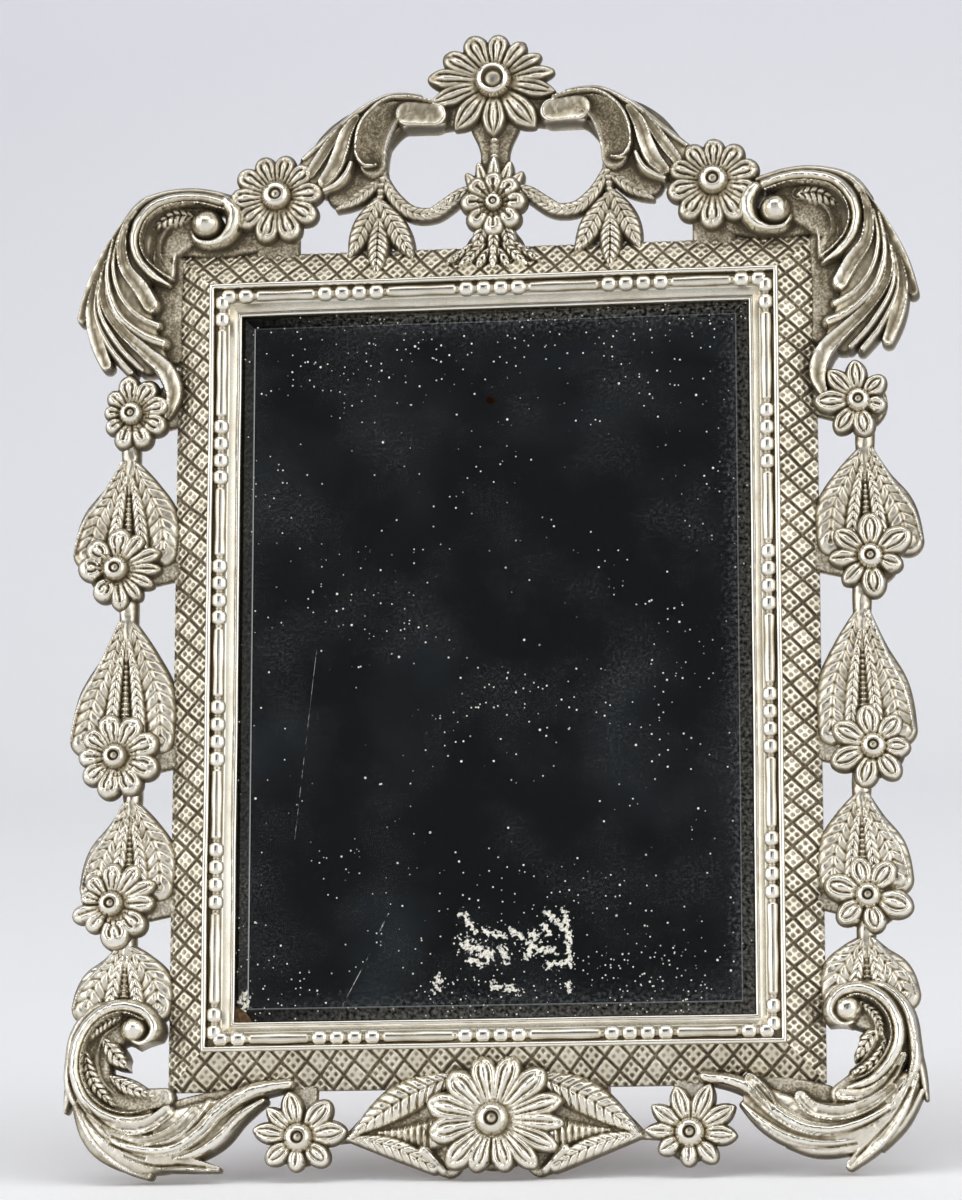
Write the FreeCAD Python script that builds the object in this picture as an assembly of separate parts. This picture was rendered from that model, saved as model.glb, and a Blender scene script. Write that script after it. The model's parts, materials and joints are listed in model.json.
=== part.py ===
"""Table mirror: a cast and chased silver frame with openwork flowers and scrolls, standing on an easel strut.

The frame is laid out flat: u runs to the right, v up, and w to the viewer, with w = 0 on the castings' backs
and the centre of the glass at u = v = 0. At the end everything is stood up, leaned back and set on the table.
"""
import FreeCAD
import Part

import math
import os
from collections import namedtuple

from FreeCAD import Placement, Rotation, Vector

# Glass, its rebate and the four-part rails
SIGHT_WIDTH = 150.0
SIGHT_HEIGHT = 210.0
MOULDING_WIDTH = 9.0
LATTICE_WIDTH = 10.5
LATTICE_INNER_HEIGHT = 10.0
LATTICE_EDGE_HEIGHT = 3.5
GLASS_THICKNESS = 4.0
GLASS_OVERLAP = 3.0
GLASS_SIDE_GAP = 0.5
GLASS_CLEARANCE = 0.1
BEVEL_WIDTH = 7.0
BEVEL_DEPTH = 1.5
CHIP_RADIUS = 8.5
PACKING_THICKNESS = 1.5

# Sight moulding and the beaded wire that lies in it
LIP_EDGE = 1.3
LIP_NOSE = 0.5
FILLET_TOP = 11.5
FILLET_WIDTH = 1.4
BEAD_SEAT_HEIGHT = 9.3
BEAD_SEAT_INSET = 3.0
BEAD_RADIUS = 1.95
REEL_RADIUS = 1.5
BEAD_PITCH = 5.1
BEADS_IN_GROUP = 4
BEAD_GROUP_SPACING = 42.0
GROUPS_ON_SHORT_SIDE = 3
GROUPS_ON_LONG_SIDE = 4
CORNER_BEADS = 2

# Castings: heights above their backs
SEAT_HEIGHT = 3.5
WEB_SHOULDER = 2.6
WEB_CROWN = 3.0
LEAF_SHOULDER = 3.2
LEAF_CROWN = 6.2
STEM_CROWN = 5.6
COVE_SHOULDER = 4.6
COVE_CROWN = 6.0
FLUTE_SHOULDER = 5.0
FLUTE_CROWN = 10.0
RIDGE_SHOULDER = 8.0
RIDGE_CROWN = 13.0
CROWN_INSET = 0.55
BRIDGE_WIDTH = 11.0

# Flowers and the rivets that hold them
PETAL_SHOULDER = 2.6
PETAL_CROWN = 5.0
FLOWER_EYE_HEIGHT = 4.0
RIVET_RADIUS = 1.5
RIVET_CLEARANCE = 0.05
RIVET_DOME = 0.5
RIVET_DIMPLE = 0.42
RIVET_DIMPLE_DEPTH = 1.6
RIVET_TAIL_RADIUS = 2.6
RIVET_TAIL_HEIGHT = 0.8

# Side garlands, left (-1) and right (1), laid out by eye: the top and bottom flowers hang off the corners,
# the others are spaced between them
SIDE_FLOWER_OUT = {-1: (13.3, 17.2, 16.6, 17.0), 1: (12.2, 15.0, 15.0, 12.8)}
FIRST_FLOWER_BELOW_CORNER = {-1: 48.3, 1: 51.0}
LAST_FLOWER_ABOVE_CORNER = {-1: 54.5, 1: 52.7}
SECOND_FLOWER_SHARE = 0.32
THIRD_FLOWER_SHARE = 0.703
SPRAY_LAST_DROP = 30.0

# Crest and apron
CREST_FLOWER_RISE = 50.4
BUD_FLOWER_RISE = 12.8
SHOULDER_FLOWER_IN = 29.5
SHOULDER_FLOWER_RISE = 17.2
APRON_FLOWER_DROP = 9.6
SMALL_FLOWER_IN = 38.5
SMALL_FLOWER_DROP = 14.0

# Back board, strut and hinge
BOARD_MARGIN = 6.0
BOARD_THICKNESS = 6.0
BOARD_CHAMFER = 1.5
BACK_SCREW_RADIUS = 1.3
BACK_SCREW_HEAD_RADIUS = 2.8
BACK_SCREW_DEPTH = 3.0
SCREW_CLEARANCE = 0.05
LEAN_ANGLE = 14.0
STRUT_ANGLE = 26.0
FLOOR_BELOW_RAIL = 25.5
HINGE_ABOVE_CENTRE = 62.0
STRUT_THICKNESS = 6.0
STRUT_TOP_WIDTH = 40.0
STRUT_FOOT_WIDTH = 46.0
STRUT_CORNER_RADIUS = 6.0
LEAF_HALF_LENGTH = 16.0
LEAF_REACH = 17.0
LEAF_THICKNESS = 1.2
KNUCKLE_RADIUS = 2.4
MIDDLE_KNUCKLE_HALF = 6.0
KNUCKLE_GAP = 0.2
PIN_RADIUS = 1.0
PIN_SEAT_CLEARANCE = 0.02
PIN_RUNNING_CLEARANCE = 0.05
PIN_OVERHANG = 0.6
STOP_LUG_REACH = 7.5
STOP_CLEARANCE = 0.05
HINGE_SCREW_RADIUS = 1.1
HINGE_SCREW_HEAD_RADIUS = 2.2
HINGE_SCREW_LENGTH = 4.8
HINGE_SCREW_SPREAD = 11.0

# Worked out from the above
HALF_SIGHT = (SIGHT_WIDTH / 2, SIGHT_HEIGHT / 2)
RAIL_WIDTH = MOULDING_WIDTH + LATTICE_WIDTH
HALF_W = HALF_SIGHT[0] + RAIL_WIDTH
HALF_H = HALF_SIGHT[1] + RAIL_WIDTH
REBATE = GLASS_OVERLAP + GLASS_SIDE_GAP
GLASS_FRONT = PACKING_THICKNESS + GLASS_THICKNESS
LIP_HEIGHT = GLASS_FRONT - BEVEL_DEPTH * (1 - GLASS_OVERLAP / BEVEL_WIDTH) + GLASS_CLEARANCE
BOARD_BACK = -BOARD_THICKNESS
HINGE_AXIS = (HINGE_ABOVE_CENTRE, BOARD_BACK - KNUCKLE_RADIUS)
FLOOR_V = -HALF_H - FLOOR_BELOW_RAIL
FAR = 1000.0

Blade = namedtuple("Blade", "spine widths shoulder crown")
Flower = namedtuple("Flower", "petals phase left right up down eye")


# Shapes that everything is made of
def polygon(points):
    """A closed wire through the points."""
    return Part.makePolygon(points + points[:1])


def solid_between(first, second):
    """The flat-sided solid between two like polygons."""
    faces = [Part.Face(polygon(first)), Part.Face(polygon(second))]
    for i in range(len(first)):
        j = (i + 1) % len(first)
        faces.append(Part.Face(polygon([first[i], first[j], second[j], second[i]])))
    return outward(Part.Solid(Part.Shell(faces)))


def outward(solid):
    """The solid with its faces turned outwards."""
    if solid.Volume < 0:
        solid.reverse()
    return solid


def plate(points, low, high):
    """A flat plate with the outline of the (u, v) points, from low to high."""
    face = Part.Face(polygon([Vector(u, v, low) for u, v in points]))
    return face.extrude(Vector(0, 0, high - low))


def disc(centre, radius, low, high):
    """An upright cylinder."""
    return Part.makeCylinder(radius, high - low, Vector(centre[0], centre[1], low))


def fused(shapes):
    """The shapes as one solid."""
    return shapes[0].multiFuse(shapes[1:]) if len(shapes) > 1 else shapes[0]


def without(shape, others):
    """The shape with the others cut out of it."""
    near = [other for other in others if shape.BoundBox.intersect(other.BoundBox)]
    return shape.cut(near) if near else shape


def curve(points):
    """A smooth edge through the points."""
    if len(points) == 3:
        first, second = points[1] - points[0], points[2] - points[1]
        if first.cross(second).Length > 1e-3 * first.Length * second.Length:
            return Part.Arc(*points).toShape()
    line = Part.BSplineCurve()
    line.interpolate(points)
    return line.toShape()


def directions(spine):
    """The unit direction of travel at each point of a spine."""
    found = []
    for i in range(len(spine)):
        before, after = spine[max(i - 1, 0)], spine[min(i + 1, len(spine) - 1)]
        along = Vector(after[0] - before[0], after[1] - before[1], 0)
        found.append(along.normalize())
    return found


def blade_outline(spine, widths, height):
    """The closed outline of a blade: two long edges and two rounded ends."""
    left, right = [], []
    ways = directions(spine)
    for (u, v), width, way in zip(spine, widths, ways):
        across = Vector(-way.y, way.x, 0) * (width / 2)
        left.append(Vector(u, v, height) + across)
        right.append(Vector(u, v, height) - across)
    tip = Vector(*spine[-1], height) + ways[-1] * (widths[-1] / 2)
    root = Vector(*spine[0], height) - ways[0] * (widths[0] / 2)
    return Part.Wire([
        curve(left),
        Part.Arc(left[-1], tip, right[-1]).toShape(),
        curve(right[::-1]),
        Part.Arc(right[0], root, left[0]).toShape(),
    ])


def blade_solid(spine, widths, shoulder, crown, low=0.0):
    """A leaf, petal, flute or stem: an upright wall to the shoulder, then sides that close to the crown."""
    narrow = [width * (1 - CROWN_INSET) for width in widths]
    sections = [blade_outline(spine, widths, low), blade_outline(spine, widths, shoulder),
                blade_outline(spine, narrow, crown)]
    return outward(Part.makeLoft(sections, True, True))


def placed_blades(blades, place):
    """Blades drawn in a casting's own coordinates, built at the place that the function gives."""
    return [blade_solid([place(*point) for point in b.spine], b.widths, b.shoulder, b.crown) for b in blades]


# Rails, moulding and beaded wire
def bar(profile, side):
    """A mitred bar along one side of the glass, from its (outward, height) profile."""
    normal, tangent, run, offset = side_frame(side)
    ends = []
    for sign in (-1, 1):
        ends.append([tangent * (sign * (run + d)) + normal * (offset + d) + Vector(0, 0, w)
                     for d, w in profile])
    return solid_between(*ends)


def side_frame(side):
    """Outward direction, direction along, half length and distance from the centre of a side of the glass."""
    normal = {"top": Vector(0, 1, 0), "bottom": Vector(0, -1, 0),
              "left": Vector(-1, 0, 0), "right": Vector(1, 0, 0)}[side]
    tangent = Vector(normal.y, -normal.x, 0)
    run, offset = HALF_SIGHT if normal.x == 0 else HALF_SIGHT[::-1]
    return normal, tangent, run, offset


def lattice_rail(side):
    """The sloping lattice band with the rebate for the glass behind it."""
    return bar([(REBATE, 0), (REBATE, LIP_HEIGHT), (MOULDING_WIDTH, LIP_HEIGHT),
                (MOULDING_WIDTH, LATTICE_INNER_HEIGHT), (RAIL_WIDTH, LATTICE_EDGE_HEIGHT),
                (RAIL_WIDTH, 0)], side)


def sight_moulding(side):
    """The polished strip whose lip holds the glass: bevel, bead seat and raised fillet."""
    fillet_inside = MOULDING_WIDTH - FILLET_WIDTH
    return bar([(0, LIP_HEIGHT), (0, LIP_HEIGHT + LIP_EDGE), (LIP_NOSE, LIP_HEIGHT + LIP_EDGE + LIP_NOSE),
                (BEAD_SEAT_INSET, BEAD_SEAT_HEIGHT), (fillet_inside, BEAD_SEAT_HEIGHT),
                (fillet_inside, FILLET_TOP), (MOULDING_WIDTH, FILLET_TOP),
                (MOULDING_WIDTH, LIP_HEIGHT)], side)


def bead_stations(half_length, groups):
    """Places of the beads along a wire: groups about the middle, and a few in each corner."""
    found = []
    for group in range(groups):
        middle = (group - (groups - 1) / 2) * BEAD_GROUP_SPACING
        for bead in range(BEADS_IN_GROUP):
            found.append(middle + (bead - (BEADS_IN_GROUP - 1) / 2) * BEAD_PITCH)
    for bead in range(CORNER_BEADS):
        from_end = BEAD_RADIUS + bead * BEAD_PITCH
        found += [half_length - from_end, from_end - half_length]
    return found


def bead_wire(side):
    """Half-round wire with groups of beads, lying on the moulding's seat and mitred at its ends."""
    normal, tangent, run, offset = side_frame(side)
    inset = (BEAD_SEAT_INSET + MOULDING_WIDTH - FILLET_WIDTH) / 2
    middle = normal * (offset + inset) + Vector(0, 0, BEAD_SEAT_HEIGHT)
    half = run + inset
    groups = GROUPS_ON_SHORT_SIDE if normal.x == 0 else GROUPS_ON_LONG_SIDE
    pieces = [Part.makeCylinder(REEL_RADIUS, 2 * half, middle - tangent * half, tangent)]
    for station in bead_stations(half, groups):
        pieces.append(Part.makeSphere(BEAD_RADIUS, middle + tangent * station))
    d_low, d_high = inset - BEAD_RADIUS - 1, inset + BEAD_RADIUS + 1
    w_low, w_high = BEAD_SEAT_HEIGHT, BEAD_SEAT_HEIGHT + 2 * BEAD_RADIUS
    room = bar([(d_low, w_low), (d_low, w_high), (d_high, w_high), (d_high, w_low)], side)
    return fused(pieces).common(room)


# Flowers
def flower_reach(flower, angle):
    """How far a petal in this direction reaches: a quarter ellipse in each quadrant."""
    c, s = math.cos(angle), math.sin(angle)
    across = flower.right if c > 0 else flower.left
    along = flower.up if s > 0 else flower.down
    return 1 / math.hypot(c / across, s / along)


def flower_petals(flower, centre, low, shoulder, crown):
    """The ring of petals, as separate solids."""
    petals = []
    step = 2 * math.pi / flower.petals
    for i in range(flower.petals):
        angle = math.radians(flower.phase) + i * step
        reach = flower_reach(flower, angle)
        widest = 2 * math.sin(step / 2) * reach * 0.66
        spine = []
        for share in (0.2, 0.64, 0.97):
            spine.append((centre[0] + share * reach * math.cos(angle),
                          centre[1] + share * reach * math.sin(angle)))
        petals.append(blade_solid(spine, [widest * 0.42, widest * 0.98, widest * 0.42], shoulder, crown, low))
    return petals


def flower_solid(flower, centre, seat):
    """A cast flower: petals about a flat eye that is bored for its rivet."""
    eye_top = seat + FLOWER_EYE_HEIGHT
    petals = flower_petals(flower, centre, seat, seat + PETAL_SHOULDER, seat + PETAL_CROWN)
    bloom = fused(petals + [disc(centre, flower.eye * 1.1, seat, eye_top)])
    above_eye = disc(centre, flower.eye + RIVET_CLEARANCE, eye_top, seat + PETAL_CROWN + 1)
    bore = disc(centre, RIVET_RADIUS + RIVET_CLEARANCE, seat - 1, eye_top + 1)
    return bloom.cut([above_eye, bore])


def flower_keep_out(flower, centre, seat):
    """The upright space above the seat that the flower takes from the castings beside it."""
    top = RIDGE_CROWN + 5
    petals = flower_petals(flower, centre, seat, top - 1, top)
    return fused(petals + [disc(centre, flower.eye * 1.1, seat, top)])


def flower_rivet(flower, centre, seat):
    """Domed rivet with a drilled dimple, through the eye and the casting, and spread at the back."""
    eye_top = seat + FLOWER_EYE_HEIGHT
    head, dimple = flower.eye, flower.eye * RIVET_DIMPLE
    rise = flower.eye * RIVET_DOME
    ball = (head ** 2 + rise ** 2) / (2 * rise)

    def dome(radius):
        return eye_top + rise - ball + math.sqrt(ball ** 2 - radius ** 2)

    def at(radius, height):
        return Vector(radius, 0, height)

    rim = dome(dimple)
    halfway = (head + dimple) / 2
    bottom = rim - min(RIVET_DIMPLE_DEPTH, rise)
    lines = [at(dimple, rim), at(dimple, bottom), at(0, bottom), at(0, -RIVET_TAIL_HEIGHT),
             at(RIVET_TAIL_RADIUS, -RIVET_TAIL_HEIGHT), at(RIVET_TAIL_RADIUS, 0), at(RIVET_RADIUS, 0),
             at(RIVET_RADIUS, eye_top), at(head, eye_top)]
    edges = [Part.makeLine(a, b) for a, b in zip(lines, lines[1:])]
    edges.append(Part.Arc(at(head, eye_top), at(halfway, dome(halfway)), at(dimple, rim)).toShape())
    body = Part.Face(Part.Wire(edges)).revolve(Vector(0, 0, 0), Vector(0, 0, 1), 360)
    body.translate(Vector(centre[0], centre[1], 0))
    return outward(body)


def side_flower_heights(side):
    """v of the four flowers of the left (-1) or right (1) garland, top to bottom."""
    first = HALF_H - FIRST_FLOWER_BELOW_CORNER[side]
    last = -HALF_H + LAST_FLOWER_ABOVE_CORNER[side]
    span = first - last
    return [first, first - span * SECOND_FLOWER_SHARE, first - span * THIRD_FLOWER_SHARE, last]


def flower_places():
    """Every flower with its name, its centre and the height of its seat."""
    apron_seat = SEAT_HEIGHT + 2.0
    found = {
        "crest_flower": (Flower(13, 80, 20, 20, 14.5, 17, 4.8), (0, HALF_H + CREST_FLOWER_RISE), SEAT_HEIGHT),
        "crest_bud_flower": (Flower(7, 90, 8, 8, 8.5, 10, 2.6), (0, HALF_H + BUD_FLOWER_RISE), SEAT_HEIGHT),
        "apron_flower": (Flower(13, 98, 19, 19.5, 18.5, 14.8, 4.6), (0, -HALF_H - APRON_FLOWER_DROP),
                         apron_seat),
    }
    shoulder = (HALF_W - SHOULDER_FLOWER_IN, HALF_H + SHOULDER_FLOWER_RISE)
    small = (HALF_W - SMALL_FLOWER_IN, -HALF_H - SMALL_FLOWER_DROP)
    for side, name in ((-1, "left"), (1, "right")):
        outer, inner = ("left", "right") if side < 0 else ("right", "left")
        found["shoulder_flower_" + name] = (
            Flower(9, 75 if side < 0 else 88, 14, 14, 12.8, 16, 4.2), (side * shoulder[0], shoulder[1]),
            SEAT_HEIGHT)
        found["apron_small_flower_" + name] = (
            Flower(8 if side < 0 else 9, 100, 13, 13, 14, 9.5, 4.0), (side * small[0], small[1]), SEAT_HEIGHT)
        shapes = [
            Flower(9 if side < 0 else 7, 95, **{outer: 8, inner: 11.5}, up=11.5, down=11, eye=3.6),
            Flower(9 if side < 0 else 7, 92, **{outer: 11.5, inner: 13}, up=12, down=12.5, eye=4.0),
            Flower(8 if side < 0 else 7, 100, **{outer: 10.5, inner: 13.5}, up=12.5, down=12.5, eye=3.6),
            Flower(9 if side < 0 else 6, 96, **{outer: 10.5, inner: 13}, up=12, down=11.5, eye=3.8),
        ]
        heights = side_flower_heights(side)
        for i, shape in enumerate(shapes):
            centre = (side * (HALF_W + SIDE_FLOWER_OUT[side][i]), heights[i])
            found["side_flower_%s_%d" % (name, i + 1)] = (shape, centre, SEAT_HEIGHT)
    return found


# Spines of the lower corners, outwards and downwards from the rails' corner, left (-1) and right (1)
LOWER_VOLUTE = {-1: (9.4, -19.2), 1: (7.6, -21)}
LOWER_RIDGE = {
    -1: [(8.5, -26.5), (16, -23), (23, -16.5), (26, -8), (25, 0), (19, 7), (10.5, 9.5), (2, 6.5)],
    1: [(6.5, -27.5), (13.5, -26), (19.5, -20.5), (22, -13), (20.5, -6), (15.5, 0), (9, 3), (4, 1.5)],
}
LOWER_OUTER_TIP = {-1: [(26.5, -10), (28.5, -2), (29.5, 5)], 1: [(24, -12), (27, -2), (28.5, 5.5)]}
LOWER_FOOT = {-1: [(25, 0), (17, 13), (4, 26)], 1: [(24, -4), (17, 11.5), (5.5, 26)]}
LOWER_HOOK = {
    -1: [(21, 8), (8, 14), (-4.5, 11.5), (-11.5, 3)],
    1: [(19, 1), (8, 10), (-1.5, 10.5), (-6, 6.5)],
}
LOWER_TONGUE = {
    -1: [(18, 11), (5.5, 17), (-4.5, 16.5), (-13, 10.5), (-21, 2.5), (-32, 1)],
    1: [(16, 7), (3, 14.5), (-7, 13), (-15.5, 6.5), (-23, 0.5), (-31.5, -1.5)],
}
LOWER_EDGE = {-1: [(14, 14), (4, 19), (-6, 20.5), (-15, 23)], 1: [(15, 11), (4, 18), (-9, 17.5), (-22, 11.5)]}
LOWER_COVE = {-1: [(17, -18), (22, -7), (12, 4)], 1: [(13, -20), (17.5, -10), (9, -0.5)]}
LOWER_COVE_LEAF = {-1: [(18, -13), (15, -9), (11, -6.5)], 1: [(15, -15), (12.5, -11.5), (10, -9.5)]}
UPPER_BALL = {-1: (-9, 9), 1: (-11.5, 7.5)}


# Castings around the rails
def corner_scroll_top(side):
    """Acanthus scroll of an upper corner: a C ridge from a ball volute, with flutes that fan over rails."""
    def place(out, up):
        return side * (HALF_W + out), HALF_H + up

    blades = [
        Blade([(-9, 15), (-1, 16.5), (6.5, 14.5), (11, 8), (10.5, 1), (4.5, -9)], [5, 5, 5.5, 6, 6, 4.5],
              RIDGE_SHOULDER, RIDGE_CROWN),
        Blade([(12, 5), (11, -8), (3, -19.5)], [4, 6, 4], FLUTE_SHOULDER, FLUTE_CROWN + 1.5),
        Blade([(14, 2), (12, -14), (1, -28)], [4, 6, 3.5], FLUTE_SHOULDER, FLUTE_CROWN + 1),
        Blade([(16, 0), (14, -20), (3, -33), (-1.5, -45)], [5, 8, 8, 3], FLUTE_SHOULDER, FLUTE_CROWN),
        Blade([(9, 13), (17, -4), (19.5, -20), (14, -34)], [5, 9, 10, 7], FLUTE_SHOULDER, FLUTE_CROWN - 1.5),
        Blade([(10, 13), (19.5, 0), (23, -14), (20, -31)], [4, 7, 6, 4], FLUTE_SHOULDER, FLUTE_CROWN),
        Blade([(9, 15), (19, 3), (27, -15)], [3, 6, 3], FLUTE_SHOULDER, FLUTE_CROWN - 1),
        Blade([(-4, 9.5), (1.5, 9.5), (7, 7.5)], [3, 6.5, 2], COVE_SHOULDER, COVE_CROWN + 2),
    ]
    ball = place(*UPPER_BALL[side])
    volute = place(UPPER_BALL[side][0] - 1, UPPER_BALL[side][1])
    pieces = placed_blades(blades, place)
    pieces.append(disc(volute, 8.3, 0, RIDGE_SHOULDER))
    pieces.append(disc(place(1, 4), 11, 0, COVE_SHOULDER))
    pieces.append(disc(ball, 4.2, 0, RIDGE_CROWN - 4))
    pieces.append(Part.makeSphere(4.2, Vector(ball[0], ball[1], RIDGE_CROWN - 4)))
    return fused(pieces)


def corner_scroll_bottom(side):
    """Acanthus scroll of a lower corner, whose flutes run on under the rail and end in the foot."""
    def place(out, down):
        return side * (HALF_W + out), -HALF_H - down

    blades = [
        Blade(LOWER_RIDGE[side], [4.5, 5.5, 6, 6, 6, 6.5, 6.5, 4.5], RIDGE_SHOULDER, RIDGE_CROWN),
        Blade(LOWER_OUTER_TIP[side], [3, 4.5, 2], FLUTE_SHOULDER, FLUTE_CROWN - 2),
        Blade(LOWER_FOOT[side], [7, 10, 3.5], FLUTE_SHOULDER, FLUTE_CROWN - 1),
        Blade(LOWER_HOOK[side], [5, 6.5, 6, 4], FLUTE_SHOULDER, FLUTE_CROWN + 1),
        Blade(LOWER_TONGUE[side], [7, 8.5, 8.5, 8, 7, 4], FLUTE_SHOULDER, FLUTE_CROWN + 1.5),
        Blade(LOWER_EDGE[side], [8, 8, 7, 3], FLUTE_SHOULDER, FLUTE_CROWN - 2),
        Blade(LOWER_COVE[side], [6, 9, 7], COVE_SHOULDER, COVE_CROWN),
        Blade(LOWER_COVE_LEAF[side], [4, 6.5, 2], COVE_SHOULDER, COVE_CROWN + 1),
    ]
    volute = place(*LOWER_VOLUTE[side])
    ball = place(LOWER_VOLUTE[side][0], LOWER_VOLUTE[side][1] + 1.5)
    pieces = placed_blades(blades, place)
    pieces.append(disc(volute, 8.9, 0, RIDGE_SHOULDER))
    pieces.append(disc(ball, 4, 0, RIDGE_CROWN - 4))
    pieces.append(Part.makeSphere(4, Vector(ball[0], ball[1], RIDGE_CROWN - 4)))
    return fused(pieces)


def leaf_spray(side, index):
    """One link of a side garland: bed of a flower, bridge to the rail, stem, web and three leaves."""
    heights = side_flower_heights(side)
    top, out = heights[index], SIDE_FLOWER_OUT[side][index]
    bottom = heights[index + 1] if index < 3 else top - SPRAY_LAST_DROP

    def place(away, up):
        return side * (HALF_W + away), up

    drop = top - bottom
    start, upper, lower, end = top - 12, bottom + 0.42 * drop, bottom + 0.2 * drop, bottom + 0.03 * drop
    blades = [
        Blade([(out, top - 2), (out - 1.5, top - 12), (out - 1.5, bottom + 0.36 * drop)], [7, 5, 4.5],
              LEAF_SHOULDER, STEM_CROWN),
        Blade([(out, start), (out + 3.5, upper), (out + 9.5, lower), (out + 11.5, end)], [3, 7, 7.5, 2.5],
              LEAF_SHOULDER, LEAF_CROWN),
        Blade([(out - 2.5, start), (out - 5, upper), (out - 9.5, end + 5)], [3, 6.5, 2.5],
              LEAF_SHOULDER, LEAF_CROWN),
        Blade([(out - 3, start - 1), (out - 9, upper), (1.5, lower + 4), (1, end + 4)], [3, 6, 6, 3],
              LEAF_SHOULDER, LEAF_CROWN - 0.6),
        Blade([(out - 1, start), (out - 2, upper), (13.5, lower), (14, end)], [5, 13, 23, 25],
              WEB_SHOULDER, WEB_CROWN),
    ]
    pieces = placed_blades(blades, place)
    reach = 0.66 * min(out, 12.5)
    pieces.append(disc(place(out, top), reach, 0, SEAT_HEIGHT))
    bridge = [place(-1, top - BRIDGE_WIDTH / 2), place(out, top - BRIDGE_WIDTH / 2),
              place(out, top + BRIDGE_WIDTH / 2), place(-1, top + BRIDGE_WIDTH / 2)]
    pieces.append(plate(bridge, 0, LEAF_SHOULDER))
    return fused(pieces)


def crest_scroll(side):
    """C scroll of the crest, from under the great flower out to the bed of the shoulder flower."""
    reach = HALF_W - SHOULDER_FLOWER_IN
    flower_rise = SHOULDER_FLOWER_RISE

    def place(out, up):
        return side * out, HALF_H + up

    blades = [
        Blade([(13, 44), (23, 43), (31, 41), (37, 35), (38.5, 23)], [4, 5, 5.5, 6, 4],
              RIDGE_SHOULDER - 1, RIDGE_CROWN - 2),
        Blade([(27, 37.5), (33, 32), (34.5, 18)], [6, 9, 6], COVE_SHOULDER, COVE_CROWN),
        Blade([(34, 39.5), (43, 31), (47.5, 17)], [4, 7, 4], FLUTE_SHOULDER, FLUTE_CROWN - 1),
        Blade([(39, 35), (42, 26), (42, 17)], [4, 6, 4], FLUTE_SHOULDER, FLUTE_CROWN - 2),
        Blade([(37, 38), (47, 30), (reach - 8, flower_rise + 9), (reach, flower_rise)], [4, 7, 8, 8],
              LEAF_SHOULDER, FLUTE_CROWN - 2),
        Blade([(46, 23), (52, 19), (reach, flower_rise)], [8, 10, 8], LEAF_SHOULDER, STEM_CROWN),
        Blade([(17, 40.5), (19.5, 39), (21.5, 38.5)], [3, 7, 6.5], COVE_SHOULDER, FLUTE_CROWN - 2),
    ]
    pieces = placed_blades(blades, place)
    pieces.append(disc(place(reach, flower_rise), 9.5, 0, SEAT_HEIGHT))
    foot = [place(reach - 7, -1), place(reach + 7, -1), place(reach + 6, flower_rise),
            place(reach - 6, flower_rise)]
    pieces.append(plate(foot, 0, LEAF_SHOULDER))
    return fused(pieces)


def crest_drop(side):
    """Leaves that hang from a crest scroll on to the upper rail, with one that swings towards the middle."""
    def place(out, up):
        return side * out, HALF_H + up

    blades = [
        Blade([(34.5, 21), (34.5, 12), (34, 2)], [6, 4.5, 4], LEAF_SHOULDER, STEM_CROWN),
        Blade([(35, 13), (40.5, 6), (43, -2)], [3, 7.5, 2], LEAF_SHOULDER, LEAF_CROWN),
        Blade([(33.5, 12), (28, 5), (24.5, -3)], [3, 7.5, 2], LEAF_SHOULDER, LEAF_CROWN),
        Blade([(34, 6), (34, -2), (34, -9.5)], [4, 7, 1.5], LEAF_SHOULDER, LEAF_CROWN + 5),
        Blade([(35, 17), (42, 13.5), (50, 13)], [4, 5.5, 3], LEAF_SHOULDER, LEAF_CROWN),
        Blade([(33, 18), (28, 12), (20, 10.5)], [4, 5, 2.5], LEAF_SHOULDER, LEAF_CROWN),
    ]
    return fused(placed_blades(blades, place))


def crest_stem():
    """Middle of the crest: beds of the great flower and the bud, the neck between, side leaves and a fan."""
    def place(out, up):
        return out, HALF_H + up

    blades = [
        Blade([(0, 38), (0, 28), (0, 17)], [12, 7, 13], LEAF_SHOULDER, STEM_CROWN),
        Blade([(0, 8), (0, 0), (0, -8.5)], [9, 11, 4], LEAF_SHOULDER, LEAF_CROWN + 4.5),
    ]
    for side in (-1, 1):
        blades.append(Blade([(side * 4, 20.5), (side * 14, 15.5), (side * 22, 10.5)], [5, 5.5, 3],
                            LEAF_SHOULDER, LEAF_CROWN))
        blades.append(Blade([(side * 3, 3), (side * 7, -2.5), (side * 12, -6.5)], [4, 5.5, 2],
                            LEAF_SHOULDER, LEAF_CROWN + 3.5))
    pieces = placed_blades(blades, place)
    pieces.append(disc(place(0, CREST_FLOWER_RISE), 13, 0, SEAT_HEIGHT))
    pieces.append(disc(place(0, BUD_FLOWER_RISE), 6.5, 0, SEAT_HEIGHT))
    return fused(pieces)


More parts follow.
